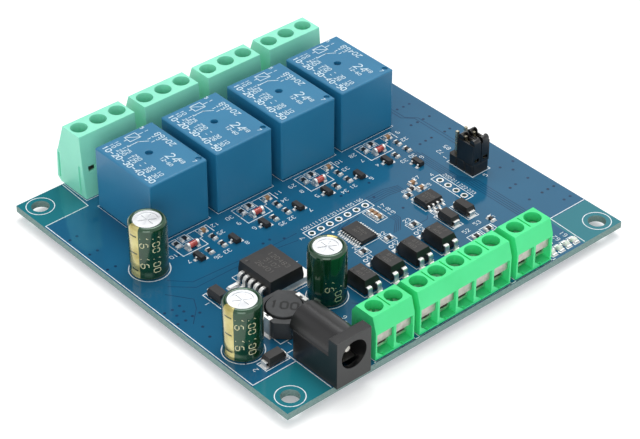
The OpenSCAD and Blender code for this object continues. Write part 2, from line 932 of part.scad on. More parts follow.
module transceiver_lead_rows() {
    lead_rows(1.95, 4, 1.27, 0.42, 0.98, 0.25, 1.1, 0.2, 0.12);
}

module transceiver_body() {
    color("#45433b")
        on_board(bus_chip_x, bus_chip_y)
            difference() {
                moulded_body(4.9, 3.9, 1.6, 0.85, 0.18);
                translate([-1.8, -1.2, 1.5])
                    cylinder(d = 0.7, h = 1);
                transceiver_lead_rows();
            }
}

module transceiver_leads() {
    color("#d8d8d4")
        on_board(bus_chip_x, bus_chip_y)
            transceiver_lead_rows();
}

module optocoupler_lead_rows() {
    lead_rows(opto_l / 2, 2, 2.54, 1.1, 2.15, 0.3, 1.5, 0.25, 0.25);
}

module optocoupler(i) {
    color("#3a3836")
        on_board(opto_first_x + i * opto_pitch, opto_y)
            difference() {
                moulded_body(opto_w, opto_l, opto_h, 2, 0.5);
                translate([-opto_w / 2 + 1.1, opto_l / 2 - 1.1, opto_h - 0.1])
                    cylinder(d = 0.7, h = 1);
                optocoupler_lead_rows();
            }
}

module optocoupler_leads() {
    color("#d8d8d4")
        for (i = [0:3])
            on_board(opto_first_x + i * opto_pitch, opto_y)
                optocoupler_lead_rows();
}

// Places of every small transistor, with its turn; one side carries two leads and the other side one
transistor_places = concat(
    [for (r = [0:3]) [relay_first_x + r * relay_pitch + driver_transistors[0][0],
        relay_front_y + driver_transistors[0][1], driver_transistors[0][2]]],
    [for (r = [0:2]) [relay_first_x + r * relay_pitch + driver_transistors[1][0],
        relay_front_y + driver_transistors[1][1], driver_transistors[1][2]]],
    [last_transistor]);

// Three leads of a small transistor: a pair on its +X side and one on its -X side
module transistor_lead_set() {
    for (row = [[-90, 2], [90, 1]])
        rotate(row[0])
            translate([0, 0.7 - lead_in, 0])
                lead_row(row[1], 1.9, 0.42, 0.66, 0.12 + lead_in, 0.6 + lead_in, 0.13, 0.1);
}

module transistor_bodies() {
    color("#222224")
        for (t = transistor_places)
            on_board(t[0], t[1], t[2])
                difference() {
                    moulded_body(1.4, 2.9, 1.1, 0.6, 0.12);
                    transistor_lead_set();
                }
}

module transistor_leads() {
    color("#d8d8d4")
        for (t = transistor_places)
            on_board(t[0], t[1], t[2])
                transistor_lead_set();
}

function driver_place(r, p) = [relay_first_x + r * relay_pitch + p[0], relay_front_y + p[1], p[2]];
glass_r = 0.7;
glass_l = 1.9;

module glass_diodes() {
    color("#b5413c")
        for (r = [0:3])
            on_board(driver_place(r, driver_diode)[0], driver_place(r, driver_diode)[1])
                translate([0, 0, glass_r + 0.05])
                    rotate([0, 90, 0])
                        cylinder(r = glass_r, h = glass_l, center = true);
}

module glass_diode_caps() {
    color("#d5d5d2")
        for (r = [0:3], s = [-1, 1])
            on_board(driver_place(r, driver_diode)[0], driver_place(r, driver_diode)[1])
                translate([s * (glass_l / 2 + 0.25), 0, glass_r + 0.05])
                    rotate([0, 90, 0])
                        cylinder(r = glass_r + 0.05, h = 0.5, center = true);
}

all_resistors = concat([for (r = [0:3], p = driver_resistors) driver_place(r, p)], loose_resistors);
all_capacitors = concat([for (r = [0:3], p = driver_capacitors) driver_place(r, p)], loose_capacitors);

module chip_body(place, height) {
    on_board(place[0], place[1], place[2])
        translate([0, 0, height / 2])
            cube([chip_l - 2 * chip_end, chip_w, height], center = true);
}

module chip_resistors() {
    color("#2b2a2c")
        for (p = all_resistors)
            chip_body(p, chip_h - 0.05);
}

module chip_capacitors() {
    color("#9a7350")
        for (p = all_capacitors)
            chip_body(p, chip_h + 0.25);
}

module chip_ends(place, height) {
    for (s = [-1, 1])
        on_board(place[0], place[1], place[2])
            translate([s * (chip_l - chip_end) / 2, 0, height / 2])
                cube([chip_end, chip_w, height], center = true);
}

module chip_terminations() {
    color("#dcdcda") {
        for (p = all_resistors)
            chip_ends(p, chip_h);
        for (p = all_capacitors)
            chip_ends(p, chip_h + 0.3);
    }
}

module status_leds() {
    color("#f2f3ea")
        for (p = led_places)
            on_board(p[0], p[1]) {
                translate([0, 0, 0.2])
                    cube([1.25, 1.4, 0.4], center = true);
                translate([0, 0, 0.4])
                    moulded_body(1.25, 1.1, 0.45, 0.05, 0.15, 0);
            }
}

module status_led_ends() {
    color("#d9c48a")
        for (p = led_places, s = [-1, 1])
            on_board(p[0], p[1])
                translate([0, s * 0.875, 0.2])
                    cube([1.25, 0.35, 0.4], center = true);
}

module jumper_header_base() {
    chamfer = 0.4;
    half = row_pitch;
    color("#1f1f21")
        on_board(jumper_x, jumper_y)
            difference() {
                linear_extrude(header_base_h)
                    for (j = [-1:1])
                        translate([0, j * row_pitch])
                            polygon([[-half, chamfer - row_pitch / 2 - skin], [chamfer - half, -row_pitch / 2 - skin],
                                [half - chamfer, -row_pitch / 2 - skin], [half, chamfer - row_pitch / 2 - skin],
                                [half, row_pitch / 2 - chamfer], [half - chamfer, row_pitch / 2],
                                [chamfer - half, row_pitch / 2], [-half, row_pitch / 2 - chamfer]]);
                for (p = header_holes)
                    translate([p[0] - jumper_x, p[1] - jumper_y, 1])
                        cube([header_pin, header_pin, 8], center = true);
            }
}

module header_post(place) {
    translate([place[0], place[1], (board_t + pin_tip_h - lead_out) / 2])
        cube([header_pin, header_pin, board_t + pin_tip_h + lead_out], center = true);
}

module jumper_header_pins() {
    color("#d6d3c4")
        for (p = header_holes)
            header_post(p);
}

// Push-on caps over the two front pin rows, each with a side latch slot and an open top between two ears
module jumper_caps() {
    wall = 0.4;
    roof = 0.6;
    ear_r = 0.75;
    ear_lift = 0.5;
    color("#1c1c1e")
        for (i = [-0.5, 0.5])
            on_board(jumper_x + i * row_pitch, jumper_y - row_pitch / 2)
                translate([0, 0, header_base_h])
                    difference() {
                        union() {
                            translate([-jumper_w / 2, -jumper_l / 2, 0])
                                cube([jumper_w, jumper_l, jumper_h]);
                            for (s = [-1, 1])
                                translate([0, s * (jumper_l / 2 - ear_r), jumper_h])
                                    rotate([90, 0, 90])
                                        linear_extrude(jumper_w - 0.5, center = true) {
                                            translate([-ear_r, -roof / 2])
                                                square([2 * ear_r, roof / 2 + ear_lift]);
                                            translate([0, ear_lift])
                                                circle(ear_r);
                                        }
                        }
                        translate([-jumper_w / 2 + wall, -jumper_l / 2 + wall, -1])
                            cube([jumper_w - 2 * wall, jumper_l - 2 * wall, 1 + jumper_h - roof]);
                        translate([0, 0, jumper_h])
                            cube([1.4, jumper_l - 1.7, 4], center = true);
                        translate([-0.7, -jumper_l / 2 - 1, 0.7])
                            cube([1.4, 2, 0.9]);
                    }
}

// Spring clip inside each cap: two cheeks that grip the pins, joined at one end
module jumper_clips() {
    cheek_t = 0.2;
    cheek_l = jumper_l - 1;
    cheek_h = jumper_h - 1.1;
    color("#c9c4b0")
        for (i = [-0.5, 0.5])
            on_board(jumper_x + i * row_pitch, jumper_y - row_pitch / 2)
                translate([0, 0, header_base_h + 0.4]) {
                    for (s = [-1, 1])
                        translate([s * (header_pin + cheek_t) / 2, 0, cheek_h / 2])
                            cube([cheek_t, cheek_l, cheek_h], center = true);
                    translate([0, cheek_l / 2 - cheek_t / 2, cheek_h / 2])
                        cube([header_pin + 2 * cheek_t, cheek_t, cheek_h], center = true);
                }
}

circuit_board();
solder_joints();
relay(0);  // relay_1
relay(1);  // relay_2
relay(2);  // relay_3
relay(3);  // relay_4
relay_pins();
output_terminal(0);  // output_terminal_1
output_terminal(1);  // output_terminal_2
output_terminal(2);  // output_terminal_3
output_terminal(3);  // output_terminal_4
output_terminal_screws();
output_terminal_clamps();
output_terminal_pins();
front_terminal(power_first_x, power_poles);  // power_terminal
front_terminal(input_first_x, input_poles);  // input_terminal
front_terminal(bus_first_x, bus_poles);  // bus_terminal
front_terminal_screws();
front_terminal_clamps();
front_terminal_pins();
dc_jack_housing();
dc_jack_centre_pin();
dc_jack_sleeve_spring();
dc_jack_switch_contact();
capacitor(0);  // capacitor_1
capacitor(1);  // capacitor_2
capacitor(2);  // capacitor_3
capacitor_sleeves();
capacitor_leads();
regulator_body();
regulator_tab();
regulator_leads();
inductor_core();
inductor_winding();
inductor_shield();
inductor_terminals();
power_diodes();
power_diode_leads();
microcontroller_body();
microcontroller_leads();
transceiver_body();
transceiver_leads();
optocoupler(0);  // optocoupler_1
optocoupler(1);  // optocoupler_2
optocoupler(2);  // optocoupler_3
optocoupler(3);  // optocoupler_4
optocoupler_leads();
transistor_bodies();
transistor_leads();
glass_diodes();
glass_diode_caps();
chip_resistors();
chip_capacitors();
chip_terminations();
status_leds();
status_led_ends();
jumper_header_base();
jumper_header_pins();
jumper_caps();
jumper_clips();
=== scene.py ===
import math
import random

import bmesh
import bpy
from mathutils import Matrix, Vector


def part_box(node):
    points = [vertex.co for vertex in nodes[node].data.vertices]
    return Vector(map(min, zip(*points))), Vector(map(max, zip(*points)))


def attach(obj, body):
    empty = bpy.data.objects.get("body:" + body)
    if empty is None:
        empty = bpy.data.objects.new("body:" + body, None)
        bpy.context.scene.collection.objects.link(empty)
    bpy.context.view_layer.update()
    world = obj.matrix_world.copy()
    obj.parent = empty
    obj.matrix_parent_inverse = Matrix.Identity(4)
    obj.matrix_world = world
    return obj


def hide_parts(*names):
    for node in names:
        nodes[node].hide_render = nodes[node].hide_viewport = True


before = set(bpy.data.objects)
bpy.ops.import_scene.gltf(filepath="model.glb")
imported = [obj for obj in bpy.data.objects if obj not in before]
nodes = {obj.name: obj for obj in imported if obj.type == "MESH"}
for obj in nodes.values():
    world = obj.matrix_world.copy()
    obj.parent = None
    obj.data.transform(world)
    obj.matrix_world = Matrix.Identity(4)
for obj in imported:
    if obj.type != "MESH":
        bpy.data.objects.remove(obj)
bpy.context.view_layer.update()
mm = 0.001
scene = bpy.context.scene

boardLow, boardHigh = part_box("circuit_board")
boardTop = boardHigh.z


def family(stem, count):
    # names of the numbered copies of a node
    return [stem + "_" + str(i + 1) for i in range(count)]


relays = family("relay", 4)
outputTerminals = family("output_terminal", 4)
optocouplers = family("optocoupler", 4)
capacitors = family("capacitor", 3)
frontTerminals = ["power_terminal", "input_terminal", "bus_terminal"]


def middle(low, high):
    # centre of a box seen from above, in mm
    return (low.x + high.x) / 2 / mm, (low.y + high.y) / 2 / mm


def linear(code):
    # sRGB hex to the linear values that shaders take
    parts = [int(code[i:i + 2], 16) / 255 for i in (1, 3, 5)]
    return tuple(c / 12.92 if c <= 0.04045 else ((c + 0.055) / 1.055) ** 2.4 for c in parts) + (1.0,)


def perMm(size):
    # pattern scale for a feature of this many millimetres, on coordinates in metres
    return 1 / (size * mm)


def addNode(tree, kind, inputs=None, **settings):
    node = tree.nodes.new(kind)
    for name, value in settings.items():
        setattr(node, name, value)
    for name, value in (inputs or {}).items():
        socket = node.inputs[name]
        if isinstance(value, bpy.types.NodeSocket):
            tree.links.new(value, socket)
        else:
            socket.default_value = value
    return node


def startMaterial(name, source="Object"):
    material = bpy.data.materials.new(name)
    material.use_nodes = True
    tree = material.node_tree
    shader = tree.nodes["Principled BSDF"]
    coords = addNode(tree, "ShaderNodeTexCoord").outputs[source]
    return material, tree, shader, coords


def ramp(tree, factor, stops):
    node = addNode(tree, "ShaderNodeValToRGB", {"Fac": factor})
    for element, (place, colour) in zip(node.color_ramp.elements, stops):
        element.position = place
        element.color = colour
    return node.outputs["Color"]


def linkIn(obj):
    scene.collection.objects.link(obj)
    return obj


def meshPiece(name, build):
    # an object whose mesh a function fills through bmesh, already in place
    mesh = bpy.data.meshes.new(name)
    shape = bmesh.new()
    build(shape)
    shape.to_mesh(mesh)
    shape.free()
    return linkIn(bpy.data.objects.new(name, mesh))


def keep(piece, material=None, replaced=None):
    # a finished piece: its material, its body and the CAD node that it hides
    if material:
        piece.data.materials.clear()
        piece.data.materials.append(material)
    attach(piece, "root")
    if replaced:
        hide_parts(replaced)
    return piece


def paint(material, *names):
    for name in names:
        data = nodes[name].data
        data.materials.clear()
        data.materials.append(material)


def solids(nodeName):
    # vertices of each separate solid of a CAD node, as lists of points
    shape = bmesh.new()
    shape.from_mesh(nodes[nodeName].data)
    bmesh.ops.remove_doubles(shape, verts=shape.verts, dist=1e-6)
    seen, found = set(), []
    for start in shape.verts:
        if start in seen:
            continue
        stack, group = [start], []
        seen.add(start)
        while stack:
            vert = stack.pop()
            group.append(vert.co.copy())
            for edge in vert.link_edges:
                other = edge.other_vert(vert)
                if other not in seen:
                    seen.add(other)
                    stack.append(other)
        found.append(group)
    shape.free()
    return found


def corners(points):
    return (Vector([min(p[i] for p in points) for i in range(3)]),
            Vector([max(p[i] for p in points) for i in range(3)]))


def breakEdges(piece, width, segments, angle):
    # a bevel on the edges that are sharper than this angle in degrees
    bevel = piece.modifiers.new("edge", "BEVEL")
    bevel.width = width * mm
    bevel.segments = segments
    bevel.limit_method = "ANGLE"
    bevel.angle_limit = math.radians(angle)


def flatten(piece, sharp=32):
    # turns live modifiers into a plain mesh; a sharp angle also sets smooth faces between sharp edges
    done = bpy.data.meshes.new_from_object(piece.evaluated_get(bpy.context.evaluated_depsgraph_get()))
    piece.modifiers.clear()
    piece.data = done
    if sharp:
        for face in done.polygons:
            face.use_smooth = True
        done.set_sharp_from_angle(angle=math.radians(sharp))
    return piece


def softCopy(nodeName, edge, segments):
    # the CAD node again, welded, with its sharp edges broken as a mould leaves them
    look = {"weld": 2e-6, "level": 1.0, "sharp": 28}
    shape = bmesh.new()
    shape.from_mesh(nodes[nodeName].data)
    bmesh.ops.remove_doubles(shape, verts=shape.verts, dist=look["weld"])
    bmesh.ops.dissolve_limit(
        shape, angle_limit=math.radians(look["level"]), verts=shape.verts, edges=shape.edges)
    for face in shape.faces:
        face.smooth = True
    mesh = bpy.data.meshes.new(nodeName + "_skin")
    shape.to_mesh(mesh)
    shape.free()
    piece = linkIn(bpy.data.objects.new(nodeName + "_skin", mesh))
    breakEdges(piece, edge, segments, look["sharp"])
    # flat faces keep their own normal up to the broken edge
    weigh = piece.modifiers.new("flat faces", "WEIGHTED_NORMAL")
    weigh.weight = 100
    weigh.keep_sharp = True
    return flatten(piece, None)


def softTwin(firstName, nodeName):
    # the same moulding again, at another node's place
    data = bpy.data.objects[firstName + "_skin"].data.copy()
    data.transform(Matrix.Translation(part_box(nodeName)[0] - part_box(firstName)[0]))
    return linkIn(bpy.data.objects.new(nodeName + "_skin", data))


def mouldedPlastic(name, look):
    # injection-moulded part: even colour, a faint flow cloud and a fine eroded skin
    material, tree, shader, coords = startMaterial(name)
    cloud = addNode(tree, "ShaderNodeTexNoise", {
        "Vector": coords, "Scale": perMm(look["cloud"]), "Detail": 3.0})
    colour = ramp(tree, cloud.outputs["Fac"], [(0.3, linear(look["dark"])), (0.7, linear(look["light"]))])
    grain = addNode(tree, "ShaderNodeTexNoise", {
        "Vector": coords, "Scale": perMm(look["grain"]), "Detail": 2.0})
    sheen = addNode(tree, "ShaderNodeMapRange", {
        "Value": grain.outputs["Fac"], "To Min": look["rough"] - 0.05, "To Max": look["rough"] + 0.06})
    bump = addNode(tree, "ShaderNodeBump", {
        "Height": grain.outputs["Fac"], "Strength": look["bump"], "Distance": 0.04 * mm})
    tree.links.new(colour, shader.inputs["Base Color"])
    tree.links.new(sheen.outputs["Result"], shader.inputs["Roughness"])
    tree.links.new(bump.outputs["Normal"], shader.inputs["Normal"])
    shader.inputs["IOR"].default_value = 1.53
    shader.inputs["Subsurface Weight"].default_value = look.get("glow", 0.0)
    shader.inputs["Subsurface Radius"].default_value = (0.4 * mm, 0.8 * mm, 0.5 * mm)
    shader.inputs["Subsurface Scale"].default_value = 1.0
    shader.inputs["Coat Weight"].default_value = look.get("coat", 0.0)
    shader.inputs["Coat Roughness"].default_value = 0.12
    return material


def platedMetal(name, look):
    # thin plating over a stamped or drawn strip: bright, with faint rolling marks and dull patches
    material, tree, shader, coords = startMaterial(name)
    patches = addNode(tree, "ShaderNodeTexNoise", {
        "Vector": coords, "Scale": perMm(look["patch"]), "Detail": 4.0})
    colour = ramp(tree, patches.outputs["Fac"], [
        (0.32, linear(look["dark"])), (0.68, linear(look["light"]))])
    rough = addNode(tree, "ShaderNodeMapRange", {
        "Value": patches.outputs["Fac"], "To Min": look["rough"] - 0.08, "To Max": look["rough"] + 0.12})
    stretch = addNode(tree, "ShaderNodeMapping", {"Vector": coords, "Scale": (1.0, 1.0, 0.15)})
    marks = addNode(tree, "ShaderNodeTexNoise", {
        "Vector": stretch.outputs["Vector"], "Scale": perMm(look["marks"]), "Detail": 2.0})
    bump = addNode(tree, "ShaderNodeBump", {
        "Height": marks.outputs["Fac"], "Strength": 0.25, "Distance": 0.02 * mm})
    tree.links.new(colour, shader.inputs["Base Color"])
    tree.links.new(rough.outputs["Result"], shader.inputs["Roughness"])
    tree.links.new(bump.outputs["Normal"], shader.inputs["Normal"])
    shader.inputs["Metallic"].default_value = 1.0
    return material


def thinLayer(name, look):
    # ink, mask or glass of one colour that thins out in small patches
    material, tree, shader, coords = startMaterial(name)
    thin = addNode(tree, "ShaderNodeTexNoise", {
        "Vector": coords, "Scale": perMm(look["patch"]), "Detail": look.get("detail", 2.0)})
    start, end = look["stops"]
    colour = ramp(tree, thin.outputs["Fac"], [(start, linear(look["dark"])), (end, linear(look["light"]))])
    tree.links.new(colour, shader.inputs["Base Color"])
    shader.inputs["Roughness"].default_value = look["rough"]
    shader.inputs["Coat Weight"].default_value = look.get("coat", 0.0)
    return material


# soft light goes a little way into the pale green moulding
polyamidePale = mouldedPlastic("pale green polyamide", {
    "dark": "#84dec2", "light": "#93eace", "cloud": 14, "grain": 0.5, "rough": 0.42, "bump": 0.12,
    "glow": 0.12})
# the same plastic in a strong green
polyamideBright = mouldedPlastic("bright green polyamide", {
    "dark": "#38da84", "light": "#45e592", "cloud": 11, "grain": 0.5, "rough": 0.4, "bump": 0.12,
    "glow": 0.12})
# closed blue case, satin, with a thin gloss at low angles
relayPbt = mouldedPlastic("relay case PBT", {
    "dark": "#1c6f97", "light": "#22779f", "cloud": 16, "grain": 0.45, "rough": 0.4, "bump": 0.1,
    "coat": 0.1})
# near black and smoother than the header's nylon
jackPbt = mouldedPlastic("black PBT of the jack", {
    "dark": "#121213", "light": "#1a1a1c", "cloud": 7, "grain": 0.5, "rough": 0.3, "bump": 0.2})
# near black, a dull skin
headerNylon = mouldedPlastic("black nylon header", {
    "dark": "#0e0e0f", "light": "#151516", "cloud": 4, "grain": 0.4, "rough": 0.38, "bump": 0.2})
# the darkest plastic, with bright edges
jumperPbt = mouldedPlastic("black PBT jumper", {
    "dark": "#0c0c0d", "light": "#121214", "cloud": 4, "grain": 0.4, "rough": 0.3, "bump": 0.15,
    "coat": 0.1})
# charcoal with a matt, sandy skin
epoxyMould = mouldedPlastic("epoxy moulding compound", {
    "dark": "#1a1818", "light": "#242221", "cloud": 3, "grain": 0.3, "rough": 0.42, "bump": 0.3})
# dark grey and coarse, with no gloss
ferrite = mouldedPlastic("ground ferrite", {
    "dark": "#242628", "light": "#333537", "cloud": 2.5, "grain": 0.3, "rough": 0.5, "bump": 0.35})
# black glass over the resistors
thickFilm = mouldedPlastic("glazed thick film", {
    "dark": "#0d0d0f", "light": "#17171a", "cloud": 1.2, "grain": 0.4, "rough": 0.3, "bump": 0.1,
    "coat": 0.2})
# tan and chalky
ceramicChip = mouldedPlastic("fired ceramic", {
    "dark": "#8a6646", "light": "#a37d59", "cloud": 1.5, "grain": 0.3, "rough": 0.5, "bump": 0.2})
# white that lets light in
ledEpoxy = mouldedPlastic("milky lens epoxy", {
    "dark": "#cfd3cd", "light": "#e2e5df", "cloud": 1.5, "grain": 0.4, "rough": 0.25, "bump": 0.05,
    "glow": 0.3})
# bright leads with soft highlights
tinPlate = platedMetal("tin plate", {
    "dark": "#dcdcda", "light": "#f3f3f0", "patch": 1.6, "marks": 0.25, "rough": 0.5})
# silver that flowed, a little cooler than tin plate
solderTin = platedMetal("solder", {
    "dark": "#d6d8d9", "light": "#f2f2f2", "patch": 0.9, "marks": 0.4, "rough": 0.45})
# grey screw heads
zincPlate = platedMetal("zinc-plated steel", {
    "dark": "#a9adab", "light": "#cfd2ce", "patch": 1.2, "marks": 0.3, "rough": 0.34})
# warm and clear on springs and clamps
nickelPlate = platedMetal("nickel-plated brass", {
    "dark": "#c6c3bb", "light": "#e6e3db", "patch": 1.8, "marks": 0.3, "rough": 0.3})
# the same plating, matt by its roughness; its darker colour is painted shade for the lips that sit behind the
# windows
matteShadedNickel = platedMetal("matte nickel plate in painted shade", {
    "dark": "#aaa8a0", "light": "#c8c6be", "patch": 1.4, "marks": 0.3, "rough": 0.5})
# pale yellow, with sharp highlights
pinPlate = platedMetal("pale gold pin plate", {
    "dark": "#cfc6a8", "light": "#ece6d0", "patch": 1.0, "marks": 0.3, "rough": 0.26})
# bare can top, brushed by drawing
canAluminium = platedMetal("drawn aluminium", {
    "dark": "#d6d8db", "light": "#eaecee", "patch": 3, "marks": 0.3, "rough": 0.42})
# reddish, under clear varnish
copperWire = platedMetal("enamelled copper", {
    "dark": "#8e4a22", "light": "#c07a40", "patch": 1.0, "marks": 0.3, "rough": 0.35})
# clear red glass with a hard highlight
redGlass = thinLayer("red diode glass", {
    "dark": "#8e2622", "light": "#c4534a", "patch": 0.8, "stops": (0.3, 0.7), "rough": 0.08, "coat": 0.6})
# not quite white, slightly broken up where it thins out
screenInk = thinLayer("white epoxy screen ink", {
    "dark": "#a9c0cd", "light": "#e6eef2", "patch": 0.35, "stops": (0.28, 0.5), "rough": 0.45})
# mask that dips to bare board between traces: darker lines
gapMask = thinLayer("solder mask between traces", {
    "dark": "#083455", "light": "#0b3f66", "patch": 5, "stops": (0.35, 0.65), "rough": 0.2})
# mask sunk into a hole: a dark dot
holeMask = thinLayer("plugged via", {
    "dark": "#08283f", "light": "#0b3552", "patch": 5, "stops": (0.35, 0.65), "rough": 0.2})
# mask with copper behind it: a lighter blue
trackMask = thinLayer("solder mask over wide copper", {
    "dark": "#125a8e", "light": "#17649a", "patch": 5, "stops": (0.35, 0.65), "rough": 0.2})
# bluish white lettering, thin on the moulded case
padInk = thinLayer("pad print ink", {
    "dark": "#a9cadb", "light": "#d6e6ee", "patch": 0.5, "detail": 3.0, "stops": (0.3, 0.6), "rough": 0.5})
# straw-coloured figures under the film's gloss
sleeveInk = thinLayer("pale gold sleeve ink", {
    "dark": "#a3a078", "light": "#d2d0ac", "patch": 0.6, "stops": (0.3, 0.6), "rough": 0.3})
# burnt skin of the compound: only a shade lighter than the body
laserMark = thinLayer("laser mark", {
    "dark": "#4c4a47", "light": "#66635f", "patch": 0.6, "stops": (0.3, 0.6), "rough": 0.3})
# the floor of a pressed figure: a flat near-black mark of painted shade where the recess lies in shade
pressedFigureShade = thinLayer("painted shade of a pressed figure", {
    "dark": "#08090a", "light": "#0e0f10", "patch": 0.6, "stops": (0.3, 0.6), "rough": 0.3})


def maskedBoard():
    # blue solder mask over etched copper, greener where no copper backs it; glass weave on the cut edge
    look = {"mask": "#15587a", "maskLight": "#1a5f82", "bare": "#1d7480", "edge": "#85a09c",
            "edgeDark": "#5d7b78", "cornerX": 35.4 * mm, "cornerY": 34.5 * mm, "cloud": 24, "layer": 0.55,
            "weave": 1.6, "gloss": 0.1, "cut": 0.7}
    material, tree, shader, coords = startMaterial("FR4 solder mask")
    axes = addNode(tree, "ShaderNodeSeparateXYZ", {"Vector": coords})
    cloud = addNode(tree, "ShaderNodeTexNoise", {
        "Vector": coords, "Scale": perMm(look["cloud"]), "Detail": 3.0})
    mask = ramp(tree, cloud.outputs["Fac"], [
        (0.35, linear(look["mask"])), (0.65, linear(look["maskLight"]))])
    far = []
    for axis, limit in (("X", look["cornerX"]), ("Y", look["cornerY"])):
        size = addNode(tree, "ShaderNodeMath", {0: axes.outputs[axis]}, operation="ABSOLUTE")
        past = addNode(tree, "ShaderNodeMath", {0: size.outputs[0], 1: limit}, operation="GREATER_THAN")
        far.append(past.outputs[0])
    corner = addNode(tree, "ShaderNodeMath", {0: far[0], 1: far[1]}, operation="MULTIPLY")
    face = addNode(tree, "ShaderNodeMix", {
        0: corner.outputs[0], 6: mask, 7: linear(look["bare"])}, data_type="RGBA")
    layers = addNode(tree, "ShaderNodeMapping", {"Vector": coords, "Scale": (1.0, 1.0, 5.0)})
    glass = addNode(tree, "ShaderNodeTexNoise", {
        "Vector": layers.outputs["Vector"], "Scale": perMm(look["layer"]), "Detail": 3.0})
    edge = ramp(tree, glass.outputs["Fac"], [
        (0.3, linear(look["edgeDark"])), (0.7, linear(look["edge"]))])
    side = addNode(tree, "ShaderNodeNewGeometry")
    facing = addNode(tree, "ShaderNodeSeparateXYZ", {"Vector": side.outputs["Normal"]})
    level = addNode(tree, "ShaderNodeMath", {0: facing.outputs["Z"]}, operation="ABSOLUTE")
    isFace = addNode(tree, "ShaderNodeMath", {0: level.outputs[0], 1: 0.5}, operation="GREATER_THAN")
    colour = addNode(tree, "ShaderNodeMix", {
        0: isFace.outputs[0], 6: edge, 7: face.outputs[2]}, data_type="RGBA")
    fabric = addNode(tree, "ShaderNodeTexWave", {
        "Vector": coords, "Scale": perMm(look["weave"]), "Distortion": 1.5, "Detail": 1.0},
        bands_direction="DIAGONAL")
    bump = addNode(tree, "ShaderNodeBump", {
        "Height": fabric.outputs["Fac"], "Strength": 0.03, "Distance": 0.02 * mm})
    rough = addNode(tree, "ShaderNodeMapRange", {
        "Value": isFace.outputs[0], "To Min": look["cut"], "To Max": look["gloss"]})
    tree.links.new(colour.outputs[2], shader.inputs["Base Color"])
    tree.links.new(rough.outputs["Result"], shader.inputs["Roughness"])
    tree.links.new(bump.outputs["Normal"], shader.inputs["Normal"])
    shader.inputs["IOR"].default_value = 1.52
    return material


paint(maskedBoard(), "circuit_board")
paint(solderTin, "solder_joints")
paint(tinPlate, "relay_pins", "capacitor_leads", "regulator_tab", "regulator_leads", "inductor_terminals",
      "power_diode_leads", "microcontroller_leads", "transceiver_leads", "optocoupler_leads",
      "transistor_leads", "glass_diode_caps", "chip_terminations", "status_led_ends",
      "output_terminal_pins", "front_terminal_pins")
paint(zincPlate, "output_terminal_screws", "front_terminal_screws")
paint(nickelPlate, "output_terminal_clamps", "front_terminal_clamps", "dc_jack_centre_pin",
      "dc_jack_sleeve_spring", "dc_jack_switch_contact", "jumper_clips")
paint(canAluminium, *capacitors)
paint(epoxyMould, "regulator_body", "power_diodes", "microcontroller_body", "transceiver_body",
      "transistor_bodies", *optocouplers)
paint(ferrite, "inductor_core", "inductor_shield")
paint(copperWire, "inductor_winding")
paint(thickFilm, "chip_resistors")
paint(ceramicChip, "chip_capacitors")
paint(ledEpoxy, "status_leds")
paint(redGlass, "glass_diodes")
paint(headerNylon, "jumper_header_base")
paint(pinPlate, "jumper_header_pins")
paint(jumperPbt, "jumper_caps")
paint(jackPbt, "dc_jack_housing")
paint(polyamidePale, *outputTerminals)
paint(polyamideBright, *frontTerminals)
paint(relayPbt, *relays)
print("materials on the CAD nodes")


# strokes of the plain figures, on a grid 4 wide and 6 high
figures = {
    "0": [[(0, 1), (0, 5), (1, 6), (3, 6), (4, 5), (4, 1), (3, 0), (1, 0), (0, 1)]],
    "1": [[(1, 5), (2, 6), (2, 0)]],
    "2": [[(0, 5), (1, 6), (3, 6), (4, 5), (4, 4), (0, 0), (4, 0)]],
    "3": [[(0, 5), (1, 6), (3, 6), (4, 5), (4, 4), (3, 3), (4, 2), (4, 1), (3, 0), (1, 0), (0, 1)],
          [(2, 3), (3, 3)]],
    "4": [[(3, 0), (3, 6), (0, 2), (4, 2)]],
    "5": [[(4, 6), (0, 6), (0, 4), (3, 4), (4, 3), (4, 1), (3, 0), (0, 0)]],
    "6": [[(3, 6), (1, 6), (0, 5), (0, 1), (1, 0), (3, 0), (4, 1), (4, 2), (3, 3), (0, 3)]],
    "7": [[(0, 6), (4, 6), (1, 0)]],
    "8": [[(1, 3), (0, 4), (0, 5), (1, 6), (3, 6), (4, 5), (4, 4), (3, 3), (1, 3)],
          [(1, 3), (0, 2), (0, 1), (1, 0), (3, 0), (4, 1), (4, 2), (3, 3)]],
    "9": [[(4, 3), (1, 3), (0, 4), (0, 5), (1, 6), (3, 6), (4, 5), (4, 1), (3, 0), (1, 0)]],
    "-": [[(0, 3), (4, 3)]],
}


def flat(x, y, z, turn=0.0, under=False):
    # maps a drawing in mm to a level plane at (x, y), turned in degrees; under draws for a reader below
    spin = Matrix.Rotation(math.radians(turn), 2)

    def put(point):
        spun = spin @ Vector((-point[0], point[1]) if under else point[:2])
        return Vector(((x + spun.x) * mm, (y + spun.y) * mm, z))
    return put


def wrap(x, y, radius, angle, top):
    # maps a drawing to an upright cylinder: its x runs down the wall and its y runs round it
    def put(point):
        around = math.radians(angle) + point[1] / radius
        return Vector(((x + radius * math.cos(around)) * mm, (y + radius * math.sin(around)) * mm,
                       top - point[0] * mm))
    return put


def ribbon(shape, points, width, put, closed=False):
    # a flat printed line of even width with mitred corners
    path = [Vector(p) for p in points]
    count = len(path)
    sides = []
    for i, here in enumerate(path):
        after = (path[(i + 1) % count] - here).normalized() if closed or i < count - 1 else None
        before = (here - path[i - 1]).normalized() if closed or i else after
        after = before if after is None else after
        mean = (before + after).normalized()
        across = Vector((-mean.y, mean.x)) * (width / 2 / max(0.4, mean.dot(after)))
        sides.append([shape.verts.new(put(here + across)), shape.verts.new(put(here - across))])
    for i in range(count if closed else count - 1):
        a, b = sides[i], sides[(i + 1) % count]
        shape.faces.new((a[1], b[1], b[0], a[0]))


def box(shape, x0, y0, x1, y1, width, put):
    ribbon(shape, [(x0, y0), (x1, y0), (x1, y1), (x0, y1)], width, put, closed=True)


